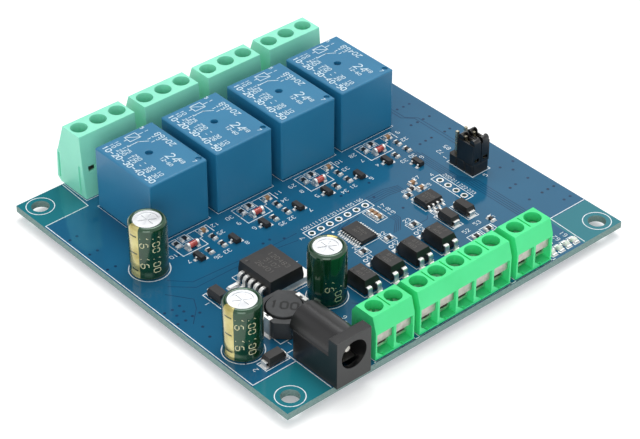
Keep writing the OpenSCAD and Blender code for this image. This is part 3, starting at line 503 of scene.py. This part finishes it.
def circle(x, y, radius, steps):
    turns = [2 * math.pi * i / steps for i in range(steps)]
    return [(x + radius * math.cos(t), y + radius * math.sin(t)) for t in turns]


def ring(shape, x, y, radius, width, put, steps):
    ribbon(shape, circle(x, y, radius, steps), width, put, closed=True)


def spot(shape, x, y, radius, put):
    shape.faces.new([shape.verts.new(put(point)) for point in circle(x, y, radius, 20)])


def number(shape, text, height, width, put, x=0.0, y=0.0):
    # plain figures in strokes, centred on (x, y)
    unit = height / 6
    start = x - (len(text) * 6 - 2) * unit / 2
    for place, sign in enumerate(text):
        for stroke in figures.get(sign, []):
            line = [(start + (place * 6 + a) * unit, y + (b - 3) * unit) for a, b in stroke]
            ribbon(shape, line, width, put)


boardZ = boardTop + 0.02 * mm
rowPitch = 2.54
headerRow = [(-5.5 + i * rowPitch, -4.53) for i in range(7)]
sideRow = [(28.4, -12.2 + (i - 1.5) * rowPitch) for i in range(4)]
relayCentres = [middle(*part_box(name)) for name in relays]
relayStep = (relayCentres[3][0] - relayCentres[0][0]) / 3
relayGrid = [relayCentres[0][0] + i * relayStep for i in range(4)]
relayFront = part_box("relay_1")[0].y / mm
# the third relay stands slightly turned
relayTurns = (0, 0, -1, 0)


def drawBoardPrint(shape):
    ink = {"line": 0.2, "fine": 0.15, "hair": 0.1, "figure": 0.13, "height": 1.0, "small": 0.78,
           "smallFigure": 0.11, "hole": (43.2, 41.4), "holeRing": 3.08, "canRing": 4.4,
           "caseX": 7.8, "caseY": 9.7, "back": 44.8, "front": -44.75}
    put = flat(0, 0, boardZ)
    line, fine = ink["line"], ink["fine"]

    def caption(text, x, y, turn=0):
        number(shape, text, ink["height"], ink["figure"], flat(x, y, boardZ, turn))

    for path in (
        [(-34.9, 44.8), (-35.3, 34.8), (-46.6, 34.7), (-46.6, -34.2), (-35.5, -34.2), (-35.5, -44.7)],
        [(46.85, -34.2), (36.3, -34.2), (35.9, -44.7)],
        [(46.85, 34.7), (35.3, 34.8), (34.9, 44.8)],
        [(-24.2, -44.75), (27, -44.75)],
        [(-35.5, -34.2), (-35.5, -31.2), (-26.0, -31.2)],
    ):
        ribbon(shape, path, line, put)
    for x, y in ((-1, -1), (1, -1), (1, 1), (-1, 1)):
        ring(shape, x * ink["hole"][0], y * ink["hole"][1], ink["holeRing"], line, put, 64)
    # outlines of the relays, terminals and cans
    for x, y in relayCentres:
        box(shape, x - ink["caseX"], y - ink["caseY"], x + ink["caseX"], y + ink["caseY"], ink["hair"], put)
    for name in outputTerminals:
        low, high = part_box(name)
        box(shape, low.x / mm - 0.25, low.y / mm - 0.3, high.x / mm + 0.25, ink["back"], fine, put)
    for name in frontTerminals:
        low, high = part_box(name)
        box(shape, low.x / mm - 0.2, ink["front"], high.x / mm + 0.2, high.y / mm + 0.3, fine, put)
    for name in capacitors:
        ring(shape, *middle(*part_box(name)), ink["canRing"], line, put, 64)
    # captions of the header rows
    for i, (x, y) in enumerate(headerRow):
        number(shape, str(10 + i) + str(i), ink["small"], ink["smallFigure"], put, x, y + 2.23)
    for i in range(4):
        number(shape, str(20 + i) + str(i), ink["small"], ink["smallFigure"],
               flat(30.6, -8.39 - i * rowPitch, boardZ, -90))
    # the group of parts in front of each relay
    for i, x in enumerate(relayGrid):
        for x0, y0, x1, y1 in ((-5.0, 9.75, -2.7, 12.9), (-2.2, 10.7, -0.1, 12.9), (0.3, 9.8, 2.4, 12.6)):
            box(shape, x + x0, y0, x + x1, y1, fine, put)
        box(shape, x - 5.0, 7.05, x + 1.6, 9.75, line, put)
        ribbon(shape, [(x + 2.4, 12.6), (x + 5.5, 12.6), (x + 5.5, 9.8)], line, put)
        for dx, y, first in ((-6.9, 11.2, 31), (6.9, 11.4, 12), (6.2, 8.4, 35), (3.1, 2.4, 33),
                             (0.4, 2.2, 36), (-6.6, 8.4, 10), (-5.2, 4.9, 7)):
            caption(str(first - i), x + dx, y, 180)
        if i < 3:
            caption(str(8 - i), x + 8.1, 2.0, 180)
    # the group of parts behind each optocoupler
    for i in range(4):
        x = -11.9 + i * 7.25
        ribbon(shape, [(x, -21.8), (x, -28.3), (x + 4.9, -28.3), (x + 4.9, -21.8)], fine, put)
        ring(shape, x + 1.3, -19.15, 0.45, 0.2, put, 24)
        box(shape, x + 8.7, -17.75, x + 11.5, -15.5, fine, put)
        caption(str(21 + i), x + 10.1, -14.5)
        caption(str(41 + i), x + 10.1, -18.7)
    # frames of the header rows, chips, supply parts and loose parts
    for x0, y0, x1, y1 in (
        (-6.9, -5.85, 11.15, -3.2), (27.15, -17.45, 29.7, -6.8), (34.45, -12.35, 39.85, -4.3),
        (-34.4, -28.2, -24.75, -19.1), (-41.9, -32.75, -35.8, -29.85), (-36.25, -11.7, -32.75, -5.8),
        (18.1, -29.45, 21.5, -27.35), (22.0, -29.15, 25.4, -27.05),
    ):
        box(shape, x0, y0, x1, y1, line, put)
    for x0, y0, x1, y1 in (
        (-1.0, -15.2, 4.2, -7.9), (18.05, -14.85, 23.55, -10.35), (7.35, -11.05, 10.35, -6.25),
        (-28.0, -17.3, -15.6, -5.2), (17.9, -23.4, 20.9, -17.4), (22.8, -23.1, 25.8, -17.1),
    ):
        box(shape, x0, y0, x1, y1, fine, put)
    spot(shape, -1.9, -7.2, 0.3, put)
    for x, y, text, turn in (
        (12.1, -7.1, "17", 0), (12.1, -8.7, "18", 0), (12.1, -10.3, "19", 0), (-8.2, -4.6, "7", 90),
        (28.4, -5.7, "4", 0), (24.9, -4.4, "27", 0), (19.5, -6.8, "28", 90), (24.9, -8.0, "29", 0),
        (-32.9, -29.3, "1", 0), (-43.2, -31.0, "2", 90), (-37.3, -8.6, "1", 90), (-20.3, -31.4, "5", 90),
        (-19.2, -30.2, "6", 90), (27.4, -25.2, "51", 90), (19.6, -25.6, "52", 0), (23.4, -25.0, "53", 0),
        (38.3, -0.3, "85", 90), (35.9, -0.6, "72", 90), (35.2, -2.9, "1", 0), (37.2, -13.6, "5", 0),
        (34.4, -39.9, "61", 90), (32.2, -39.9, "62", 90), (29.9, -39.9, "63", 90), (24.2, -9.7, "3", 0),
        (31.4, 0.7, "9", 0), (-29.7, -19.0, "0", 0), (-14.6, -9.9, "1", 90),
    ):
        caption(text, x, y, turn)
    for x in (27.7, 29.9, 32.1, 34.3):
        ribbon(shape, [(x - 0.85, -41.5), (x + 0.85, -41.5)], fine, put)


keep(meshPiece("board_print", drawBoardPrint), screenInk)
print("white print on the board")


def drawTraceGaps(shape):
    # the sunk lines between traces, in bundles that turn together and a few single ones
    look = {"width": 0.16, "lift": 0.012, "bundle": 5}
    put = flat(0, 0, boardTop + look["lift"] * mm)
    paths = []
    for k in range(look["bundle"]):
        side, foot = 30.3 + 0.55 * k, 32.1 + 0.62 * k
        paths.append([(side, 6 - k), (side, -8.6 - 0.3 * k), (foot, -12.6 - 0.3 * k), (foot, -36.0)])
        paths.append([(11.6, -2.7 - 0.62 * k), (16.5, -2.7 - 0.62 * k), (19.6, -3.7 - 0.5 * k),
                      (20.2, -3.7 - 0.5 * k)])
        head = -4.2 + k * rowPitch
        paths.append([(head, -5.9), (head, -6.5), (-2.6 + 0.7 * k, -7.4)])
    for k in range(look["bundle"] - 1):
        paths.append([(10.9 + 0.5 * k, -11.2), (10.9 + 0.5 * k, -12.9), (7.6 + 0.6 * k, -16.0)])
    paths += [
        [(-38.7, 2.9), (-35, -1.0), (-24, -1.7), (-12.8, -2.4), (-8, -2.4)],
        [(-39.9, 1.2), (-35.6, -2.9), (-26.4, -3.0), (-14.2, -3.7), (-9.4, -4.5)],
        [(-41.9, -0.5), (-38.4, -5.6), (-39.9, -8.3), (-43.5, -11.8)],
        [(-36.9, -12.5), (-36.9, -18.5), (-33.0, -22.0)],
        [(40.8, -7), (40.8, 13), (38.6, 15.2), (38.6, 30)],
        [(41.6, -7), (41.6, 12.6), (39.4, 14.8), (39.4, 30)],
        [(-15, -27.8), (-12.6, -30.2), (-12.6, -36)],
        [(13.5, -17.0), (16.4, -17.0), (17.3, -16.1)],
    ]
    for path in paths:
        ribbon(shape, path, look["width"], put)


keep(meshPiece("trace_gaps", drawTraceGaps), gapMask)


def scatter(name, points, build, inputs, material):
    # Geometry Nodes put one shape on every point, as a plain mesh in the end
    cloud = bpy.data.meshes.new(name)
    cloud.from_pydata([p["at"] for p in points], [], [])
    if "size" in points[0]:
        sizes = cloud.attributes.new("size", "FLOAT_VECTOR", "POINT")
        for slot, point in zip(sizes.data, points):
            slot.vector = point["size"]
    piece = linkIn(bpy.data.objects.new(name, cloud))
    tree = bpy.data.node_groups.new(name, "GeometryNodeTree")
    face = tree.interface
    face.new_socket("Geometry", in_out="INPUT", socket_type="NodeSocketGeometry")
    sockets = {key: face.new_socket(key, in_out="INPUT", socket_type="NodeSocketFloat") for key in inputs}
    face.new_socket("Geometry", in_out="OUTPUT", socket_type="NodeSocketGeometry")
    entry = addNode(tree, "NodeGroupInput")
    placed = addNode(tree, "GeometryNodeInstanceOnPoints", {
        "Points": entry.outputs["Geometry"], "Instance": build(tree, entry)})
    if "size" in points[0]:
        size = addNode(tree, "GeometryNodeInputNamedAttribute", {"Name": "size"}, data_type="FLOAT_VECTOR")
        tree.links.new(size.outputs["Attribute"], placed.inputs["Scale"])
    real = addNode(tree, "GeometryNodeRealizeInstances", {"Geometry": placed.outputs["Instances"]})
    tinted = addNode(tree, "GeometryNodeSetMaterial", {
        "Geometry": real.outputs["Geometry"], "Material": material})
    addNode(tree, "NodeGroupOutput", {"Geometry": tinted.outputs["Geometry"]})
    modifier = piece.modifiers.new("scatter", "NODES")
    modifier.node_group = tree
    for key, value in inputs.items():
        modifier[sockets[key].identifier] = value
    return flatten(piece)


def disc(tree, entry):
    # a thin round plate, thick enough to catch the light at its rim
    plate = addNode(tree, "GeometryNodeMeshCylinder", {
        "Vertices": 14, "Radius": entry.outputs["Radius"], "Depth": entry.outputs["Thickness"]})
    return plate.outputs["Mesh"]


def viaPlaces():
    # vias lie in rows (start x, y, count) with a few left out
    dice = random.Random(7)
    look = {"step": 1.9, "miss": 0.22, "shift": 0.12}
    rows = [
        (41.8, -13.7, 3), (43.4, -16.1, 2), (35.9, -20.5, 3), (43.5, -20.6, 2), (38.0, -26.3, 5),
        (41.7, -31.3, 3), (34.6, 4.7, 6), (38.3, 11.4, 4), (38.4, 18.2, 4), (40.2, 24.9, 3), (38.3, 31.2, 4),
        (-45.7, -5.4, 3), (-44.3, -7.4, 2), (-45.9, -9.8, 4), (-44.4, -13.6, 3), (-45.3, -17.0, 3),
        (-45.6, -22.2, 1), (-45.6, 13.8, 2), (-45.4, 20.6, 2), (-45.5, 27.4, 2), (-44.2, 0.4, 2),
        (13.2, -3.4, 1), (15.4, -10.6, 1), (-11.2, -2.1, 1), (-15.6, -0.4, 2), (8.2, 1.4, 2), (24.2, 3.4, 1),
        (13.4, -21.4, 1), (31.3, -21.6, 1), (33.0, -31.8, 2), (-31.3, -34.0, 1), (-43.4, -28.2, 1),
        (-21.2, -33.4, 3), (-33.5, 8.0, 2), (16.0, 1.2, 1),
    ]
    return [((x + i * look["step"] + dice.uniform(-1, 1) * look["shift"]) * mm,
             (y + dice.uniform(-1, 1) * look["shift"]) * mm)
            for x, y, count in rows for i in range(count) if dice.random() > look["miss"]]


def addVias():
    look = {"rim": 0.36, "hole": 0.2, "rimLift": 0.008, "holeLift": 0.014, "thick": 0.02}
    for name, radius, lift, material in (("via_rims", look["rim"], look["rimLift"], gapMask),
                                         ("via_holes", look["hole"], look["holeLift"], holeMask)):
        places = [{"at": (*place, face)}
                  for face in (boardTop + lift * mm, boardLow.z - lift * mm) for place in viaPlaces()]
        inputs = {"Radius": radius * mm, "Thickness": look["thick"] * mm}
        keep(scatter(name, places, disc, inputs, material))


addVias()


def drawPadRings(shape):
    # tinned rings round the empty header holes, above and below, and round the soldered ones below
    look = {"lift": 0.025, "radius": 0.68, "width": 0.34, "past": 0.05, "jointWidth": 0.5, "steps": 28}
    above = flat(0, 0, boardTop + look["lift"] * mm)
    below = flat(0, 0, boardLow.z - look["lift"] * mm, 0, True)
    for x, y in headerRow + sideRow:
        ring(shape, x, y, look["radius"], look["width"], above, look["steps"])
        ring(shape, -x, y, look["radius"], look["width"], below, look["steps"])
    for points in solids("solder_joints"):
        low, high = corners(points)
        x, y = middle(low, high)
        radius = (high.x - low.x) / 2 / mm + look["past"]
        ring(shape, -x, y, radius, look["jointWidth"], below, look["steps"])


keep(meshPiece("pad_rings", drawPadRings), solderTin)


def solderPads():
    # a sloped bead of solder at every surface-mounted foot: how far it spreads and how high it climbs
    chunky = {"chip_terminations": (0.26, 0.34), "status_led_ends": (0.2, 0.1),
              "glass_diode_caps": (0.25, 0.5), "power_diode_leads": (0.3, 0.3),
              "inductor_terminals": (0.5, 0.4), "regulator_tab": (0.35, 0.25)}
    slim = {"microcontroller_leads": (0.1, 0.08), "transceiver_leads": (0.15, 0.12),
            "optocoupler_leads": (0.28, 0.2), "transistor_leads": (0.2, 0.12),
            "regulator_leads": (0.25, 0.25)}
    beads = []
    for group, reach in ((chunky, 0.3), (slim, 0.12)):
        for nodeName, (grow, height) in group.items():
            for points in solids(nodeName):
                foot = [p for p in points if p.z < boardTop + reach * mm]
                low, high = corners(foot or points)
                half = (high - low) / 2
                beads.append({"at": (*((low + high) / 2).xy, boardTop),
                              "size": (half.x + grow * mm, half.y + grow * mm, height * mm)})
    return beads


def slopedBead(tree, entry):
    # a blunt four-sided hill one unit across, rounded by its own smooth faces
    hill = addNode(tree, "GeometryNodeMeshCone", {
        "Vertices": 4, "Radius Top": entry.outputs["Top"], "Radius Bottom": math.sqrt(2), "Depth": 1.0})
    turned = addNode(tree, "GeometryNodeTransform", {
        "Geometry": hill.outputs["Mesh"], "Rotation": (0.0, 0.0, math.pi / 4)})
    return turned.outputs["Geometry"]


keep(scatter("solder_beads", solderPads(), slopedBead, {"Top": 0.95}, solderTin))
print("traces, vias, pads and solder beads")


def drawUnderTracks(shape):
    # wide tracks under the board from the relays' contacts to the output terminals
    look = {"contact": 2.6, "coil": 1.0, "lift": 0.015}
    put = flat(0, 0, boardLow.z - look["lift"] * mm, 0, True)
    pins = [middle(*corners(points)) for points in solids("relay_pins")]
    posts = [middle(*corners(points)) for points in solids("output_terminal_pins")]
    for x in relayGrid:
        mine = sorted((pin for pin in sorted(pins) if abs(pin[0] - x) < 8), key=lambda pin: -pin[1])
        ends = sorted(post for post in posts if abs(post[0] - x + 0.65) < 7)
        for (px, py), (qx, qy) in zip(sorted(mine[:3]), ends):
            ribbon(shape, [(-px, py), (-px, qy - 4 - abs(qx - px)), (-qx, qy - 3.5), (-qx, qy)],
                   look["contact"], put)
        for px, py in mine[3:]:
            ribbon(shape, [(-px, py), (-px, relayFront - 2), (-px + 2, relayFront - 5)], look["coil"], put)
    for x in (-9.1, -4.02, 1.06, 6.14, 11.22):
        ribbon(shape, [(-x, -40.85), (-x, -33), (-x - 1.2, -30.5)], look["coil"], put)
    ribbon(shape, [(21.0, -40.85), (21.0, -35), (30, -31), (38, -26)], look["contact"], put)


keep(meshPiece("under_tracks", drawUnderTracks), trackMask)


def drawRelayPrint(shape):
    look = {"lift": 0.03, "fine": 0.16, "mid": 0.2, "bold": 0.27}
    fine, mid, bold = look["fine"], look["mid"], look["bold"]
    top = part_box("relay_1")[1].z + look["lift"] * mm
    for turn, (x, y) in zip(relayTurns, relayCentres):
        # read from the left side of the board: its x runs towards the front
        put = flat(x, y, top, turn - 90)
        for text, height, width, px, py in (
            ("10-20-30-40-50", 1.25, bold, 0.1, -6.0), ("10 250 125 - 28 30", 0.92, fine, -0.2, -4.35),
            ("10 125 250 - 30 10", 0.92, fine, -0.2, -3.05), ("24", 1.9, bold, 4.4, 2.6),
            ("48", 0.9, fine, 6.6, 3.1), ("7", 0.9, fine, 8.3, 5.2), ("12-60", 0.8, fine, 4.6, 0.6),
            ("1", 0.8, fine, -7.35, 4.5), ("2", 0.8, fine, -4.6, 4.5), ("3", 0.8, fine, -3.2, 4.5),
            ("4", 0.8, fine, -5.2, -1.9), ("5", 0.8, fine, -8.9, 4.5),
        ):
            number(shape, text, height, width, put, px, py)
        # contact diagram: coil box, two fixed contacts and the moving one
        box(shape, -8.4, -0.6, -6.3, 2.2, mid, put)
        for path in (
            [(-8.4, -0.6), (-6.3, 2.2)], [(-7.35, 2.2), (-7.35, 3.6)], [(-7.35, -0.6), (-7.35, -1.5)],
            [(-5.2, -1.5), (-5.2, 0.7), (-3.9, 2.6)], [(-4.6, 3.6), (-4.6, 2.7)], [(-3.2, 3.6), (-3.2, 2.7)],
        ):
            ribbon(shape, path, mid, put)
        spot(shape, -5.2, 0.7, 0.22, put)
        # figures that are read from the other side
        number(shape, "20468", 1.3, mid, flat(x, y, top, turn + 90), 2.2, -5.6)


keep(meshPiece("relay_print", drawRelayPrint), padInk)
print("relay print")


# how far each capacitor's seam is turned, in degrees
sleeveTurns = {"capacitor_1": 186.0, "capacitor_2": 186.0, "capacitor_3": 30.0}
sleeveHeight = 13.0


def drawSleeves(shape):
    # one film per can, as radius and height in mm: tucked in below, waisted at the bead, folded over the rim
    profile = [
        (3.6, 0.12), (3.95, 0.1), (4.13, 0.3), (4.16, 0.7), (4.13, 1.1), (4.07, 1.45), (4.01, 1.8),
        (3.99, 2.1), (4.02, 2.4), (4.08, 2.8), (4.13, 3.3), (4.15, 4.0), (4.15, 8.0), (4.15, 12.0),
        (4.1, 12.35), (3.97, 12.65), (3.75, 12.87), (3.5, 12.98), (3.25, 12.97), (3.05, 12.88),
        (2.92, 12.78), (2.86, 12.68),
    ]
    uv = shape.loops.layers.uv.new("wall")
    steps = 96
    for name, turn in sleeveTurns.items():
        low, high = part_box(name)
        cx, cy = (low.x + high.x) / 2, (low.y + high.y) / 2
        turns = [math.radians(turn) + 2 * math.pi * i / steps for i in range(steps)]
        rings = [[shape.verts.new((cx + r * mm * math.cos(t), cy + r * mm * math.sin(t), boardTop + z * mm))
                  for t in turns] for r, z in profile]
        for level in range(len(profile) - 1):
            below, above = rings[level], rings[level + 1]
            for i in range(steps):
                j = (i + 1) % steps
                face = shape.faces.new((below[i], below[j], above[j], above[i]))
                face.smooth = True
                places = ((i, level), (i + 1, level), (i + 1, level + 1), (i, level + 1))
                for loop, (around, h) in zip(face.loops, places):
                    loop[uv].uv = (around / steps, profile[h][1] / sleeveHeight)


def shrunkSleeve():
    # glossy green PVC film over bright metal, with a gold stripe that carries dark dashes
    look = {"green": "#09351e", "greenLight": "#0d4728", "gold": "#a6984c", "goldLight": "#d3ca88",
            "dash": "#3f451d", "half": 0.052, "dashHalf": 0.036, "dashes": 3.0, "dashThick": 0.045}
    material, tree, shader, coords = startMaterial("shrunk PVC sleeve", "UV")
    axes = addNode(tree, "ShaderNodeSeparateXYZ", {"Vector": coords})
    solid = addNode(tree, "ShaderNodeTexCoord").outputs["Object"]
    cloud = addNode(tree, "ShaderNodeTexNoise", {"Vector": solid, "Scale": perMm(4), "Detail": 3.0})
    green = ramp(tree, cloud.outputs["Fac"], [
        (0.3, linear(look["green"])), (0.7, linear(look["greenLight"]))])
    gold = ramp(tree, cloud.outputs["Fac"], [
        (0.3, linear(look["gold"])), (0.65, linear(look["goldLight"]))])

    def maths(kind, a, b=0.0):
        return addNode(tree, "ShaderNodeMath", {0: a, 1: b}, operation=kind).outputs[0]

    # both are measured from the middle of the stripe and of a dash
    away = maths("SUBTRACT", 0.5, maths("ABSOLUTE", maths("SUBTRACT", axes.outputs["X"], 0.5)))
    beat = maths("FRACT", maths("MULTIPLY", axes.outputs["Y"], look["dashes"]))
    beat = maths("ABSOLUTE", maths("SUBTRACT", beat, 0.5))
    stripe = maths("LESS_THAN", away, look["half"])
    dash = maths("MULTIPLY", maths("LESS_THAN", beat, look["dashThick"]),
                 maths("LESS_THAN", away, look["dashHalf"]))
    marked = addNode(tree, "ShaderNodeMix", {0: dash, 6: gold, 7: linear(look["dash"])}, data_type="RGBA")
    colour = addNode(tree, "ShaderNodeMix", {0: stripe, 6: green, 7: marked.outputs[2]}, data_type="RGBA")
    metal = addNode(tree, "ShaderNodeMapRange", {"Value": stripe, "To Min": 0.35, "To Max": 0.6})
    tree.links.new(colour.outputs[2], shader.inputs["Base Color"])
    tree.links.new(metal.outputs["Result"], shader.inputs["Metallic"])
    shader.inputs["Roughness"].default_value = 0.2
    shader.inputs["Coat Weight"].default_value = 0.8
    shader.inputs["Coat Roughness"].default_value = 0.06
    return material


def drawSleevePrint(shape):
    look = {"radius": 4.175, "width": 0.2}
    for name, turn in sleeveTurns.items():
        cx, cy = middle(*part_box(name))
        for angle, text, size, down in ((35, "16", 1.7, 3.2), (35, "16", 1.7, 8.4), (71, "100", 1.5, 3.9),
                                        (71, "100", 1.5, 9.0), (205, "16", 1.7, 7.5), (232, "100", 1.5, 9.6)):
            put = wrap(cx, cy, look["radius"], turn + angle, boardTop + sleeveHeight * mm)
            number(shape, text, size, look["width"], put, down)


keep(meshPiece("capacitor_sleeve_skins", drawSleeves), shrunkSleeve(), "capacitor_sleeves")
keep(meshPiece("sleeve_print", drawSleevePrint), sleeveInk)
print("capacitor sleeves")


def onTop(name, lift, turn):
    low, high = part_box(name)
    return flat(*middle(low, high), high.z + lift * mm, turn)


def drawChipMarks(shape):
    look = {"lift": 0.012, "turn": -90}
    rows = [("regulator_body", "120483", 1.1, 0.13, 0.2, 2.0),
            ("regulator_body", "5107", 1.1, 0.13, 0.2, 0.1),
            ("regulator_body", "26401", 1.1, 0.13, 0.2, -1.8),
            ("microcontroller_body", "104826", 0.6, 0.08, 0, 0.6),
            ("microcontroller_body", "30715", 0.6, 0.08, 0, -0.5),
            ("transceiver_body", "2048", 0.7, 0.09, 0, 0.5), ("transceiver_body", "617", 0.7, 0.09, 0, -0.7)]
    for i, name in enumerate(optocouplers):
        rows += [(name, "817", 0.8, 0.1, 0, 0.7), (name, "40" + str(i + 1), 0.8, 0.1, 0, -0.7)]
    for name, text, height, width, x, y in rows:
        number(shape, text, height, width, onTop(name, look["lift"], look["turn"]), x, y)


keep(meshPiece("chip_marks", drawChipMarks), laserMark)


def drawInductorNumber(shape):
    # the pressed figure is a flat mark in painted shade, near black where the recess would be shaded
    look = {"lift": 0.012, "turn": -50, "height": 2.1, "width": 0.46}
    put = onTop("inductor_core", look["lift"], look["turn"])
    number(shape, "100", look["height"], look["width"], put)


keep(meshPiece("inductor_number_shade", drawInductorNumber), pressedFigureShade)
print("marks")


def drawClampLips(shape):
    # the clamps of the front terminals end in a bent lip just behind each window
    look = {"reach": 1.2, "drop": 2.45, "sheet": 0.38, "bend": 0.3, "sink": 0.02}
    reach, drop, sheet, bend = look["reach"], look["drop"], look["sheet"], look["bend"]
    outline = [
        (0, 0), (reach - bend, 0), (reach - bend * 0.3, -bend * 0.3), (reach, -bend), (reach, -drop),
        (reach - sheet, -drop), (reach - sheet, -sheet - bend * 0.5), (reach - sheet - bend * 0.4, -sheet),
        (0, -sheet),
    ]
    for points in solids("front_terminal_clamps"):
        low, high = corners(points)
        y, z = low.y / mm + look["sink"], high.z / mm - look["sink"]
        ends = [[shape.verts.new((x, (y - u) * mm, (z + v) * mm)) for u, v in outline]
                for x in (low.x, high.x)]
        shape.faces.new(ends[0])
        shape.faces.new(reversed(ends[1]))
        for i in range(len(outline)):
            j = (i + 1) % len(outline)
            shape.faces.new((ends[0][j], ends[0][i], ends[1][i], ends[1][j]))
    bmesh.ops.recalc_face_normals(shape, faces=shape.faces)


def addClampLips():
    piece = meshPiece("clamp_lips", drawClampLips)
    breakEdges(piece, 0.06, 2, 30)
    # the lips take the darker nickel: painted shade of the windows they sit behind
    keep(flatten(piece), matteShadedNickel)


addClampLips()
print("clamp lips")


def softenAll():
    # nodes, broken edge in mm, bevel steps, material and a slot name
    jobs = [
        (relays, 0.28, 3, relayPbt, "relay_case"),
        (["dc_jack_housing"], 0.18, 2, jackPbt, "jack_pbt"),
        (["jumper_caps"], 0.1, 2, jumperPbt, "jumper_pbt"),
        (["jumper_header_base"], 0.08, 2, headerNylon, "header_nylon"),
        (outputTerminals[:1], 0.14, 2, polyamidePale, "pale_green_polyamide"),
        (optocouplers, 0.06, 1, epoxyMould, "epoxy_mould"),
        (frontTerminals, 0.14, 2, polyamideBright, "bright_green_polyamide"),
        (["regulator_body"], 0.08, 2, epoxyMould, "epoxy_mould"),
    ]
    for names, edge, segments, material, slot in jobs:
        for name in names:
            keep(softCopy(name, edge, segments), material, name)
    for name in outputTerminals[1:]:
        keep(softTwin(outputTerminals[0], name), polyamidePale, name)


softenAll()
print("softened housings")


def stageMaterial():
    # white paper: it takes the object's shadow, and its own glow keeps the rest of it white
    look = {"paper": 0.8, "glow": 0.3}
    material, tree, shader, coords = startMaterial("white paper floor")
    tree.nodes.remove(shader)
    paper = addNode(tree, "ShaderNodeBsdfDiffuse", {"Color": (*[look["paper"]] * 3, 1.0)})
    # the glow shows to the camera, straight on or in a reflection or through glass
    path = addNode(tree, "ShaderNodeLightPath").outputs
    mirrored = addNode(tree, "ShaderNodeMath", {
        0: path["Is Glossy Ray"], 1: path["Is Transmission Ray"]}, operation="MAXIMUM")
    seen = addNode(tree, "ShaderNodeMath", {
        0: path["Is Camera Ray"], 1: mirrored.outputs[0]}, operation="MAXIMUM")
    level = addNode(tree, "ShaderNodeMath", {0: seen.outputs[0], 1: look["glow"]}, operation="MULTIPLY")
    glow = addNode(tree, "ShaderNodeEmission", {"Strength": level.outputs[0]})
    both = addNode(tree, "ShaderNodeAddShader", {0: paper.outputs[0], 1: glow.outputs[0]})
    tree.links.new(both.outputs[0], tree.nodes["Material Output"].inputs["Surface"])
    return material


def makeStage():
    look = {"half": 3.0, "drop": 0.02 * mm}
    level = min(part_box(n)[0].z for n in nodes) - look["drop"]
    floor = meshPiece("floor", lambda shape: shape.faces.new([
        shape.verts.new((x * look["half"], y * look["half"], level))
        for x, y in ((-1, -1), (1, -1), (1, 1), (-1, 1))]))
    floor.data.materials.append(stageMaterial())


def makeTent():
    # a white tent, but for a dark card behind the object that only gloss picks up;
    # each edge of the card fades between two angles in degrees, by heading or by height
    look = {"fill": 0.72, "card": 0.1, "open": 0.92, "side": (40.0, 45.5), "far": (-15.0, -28.0),
            "top": (46.0, 54.0), "foot": (30.0, 22.0)}
    world = bpy.data.worlds.new("soft tent")
    scene.world = world
    world.use_nodes = True
    tree = world.node_tree
    backdrop = tree.nodes["Background"]
    path = addNode(tree, "ShaderNodeLightPath").outputs
    view = addNode(tree, "ShaderNodeTexCoord").outputs["Generated"]
    way = addNode(tree, "ShaderNodeSeparateXYZ", {"Vector": view})
    heading = addNode(tree, "ShaderNodeMath", {
        0: way.outputs["X"], 1: way.outputs["Y"]}, operation="ARCTAN2").outputs[0]
    edges = [(heading, [math.radians(a) for a in look[key]]) for key in ("side", "far")]
    edges += [(way.outputs["Z"], [math.sin(math.radians(a)) for a in look[key]]) for key in ("top", "foot")]
    clear = 0.0
    for source, (start, end) in edges:
        past = addNode(tree, "ShaderNodeMapRange", {
            "Value": source, "From Min": start, "From Max": end}, interpolation_type="SMOOTHSTEP")
        clear = addNode(tree, "ShaderNodeMath", {
            0: past.outputs["Result"], 1: clear}, operation="MAXIMUM").outputs[0]
    gloss = addNode(tree, "ShaderNodeMapRange", {
        "Value": clear, "To Min": look["card"], "To Max": look["open"]})
    matt = addNode(tree, "ShaderNodeMix", {
        "Factor": path["Is Glossy Ray"], "A": look["fill"], "B": gloss.outputs["Result"]})
    straight = addNode(tree, "ShaderNodeMath", {
        0: path["Is Camera Ray"], 1: path["Is Transmission Ray"]}, operation="MAXIMUM")
    strength = addNode(tree, "ShaderNodeMix", {
        "Factor": straight.outputs[0], "A": matt.outputs["Result"], "B": 1.0})
    tree.links.new(strength.outputs["Result"], backdrop.inputs["Strength"])
    backdrop.inputs["Color"].default_value = (1.0, 1.0, 1.0, 1.0)


def makeLamps():
    lamps = [
        {"name": "overhead", "place": (0.2, 0.14, 0.68), "size": 0.45, "power": 2.8},
        {"name": "leftFill", "place": (-0.6, -0.6, 0.22), "size": 0.6, "power": 2.6},
    ]
    for lamp in lamps:
        data = bpy.data.lights.new(lamp["name"], "AREA")
        data.size = lamp["size"]
        data.energy = lamp["power"]
        obj = linkIn(bpy.data.objects.new(lamp["name"], data))
        obj.location = lamp["place"]
        obj.rotation_euler = (-obj.location).to_track_quat("-Z", "Y").to_euler()


def makeCamera():
    shot = {"azimuth": -41.238, "elevation": 36.444, "distance": 476.3 * mm, "lens": 125.18, "sensor": 36.0,
            "target": Vector((-0.99 * mm, -1.977 * mm, boardTop)), "near": 0.01, "far": 20.0}
    turn, lift = math.radians(shot["azimuth"]), math.radians(shot["elevation"])
    away = Vector((math.sin(turn) * math.cos(lift), -math.cos(turn) * math.cos(lift), math.sin(lift)))
    data = bpy.data.cameras.new("camera")
    data.lens = shot["lens"]
    data.sensor_width = shot["sensor"]
    data.clip_start = shot["near"]
    data.clip_end = shot["far"]
    camera = linkIn(bpy.data.objects.new("camera", data))
    camera.location = shot["target"] + away * shot["distance"]
    camera.rotation_euler = (-away).to_track_quat("-Z", "Y").to_euler()
    scene.camera = camera


makeStage()
makeTent()
makeLamps()
makeCamera()
scene.view_settings.view_transform = "Standard"
print("floor, light and camera")
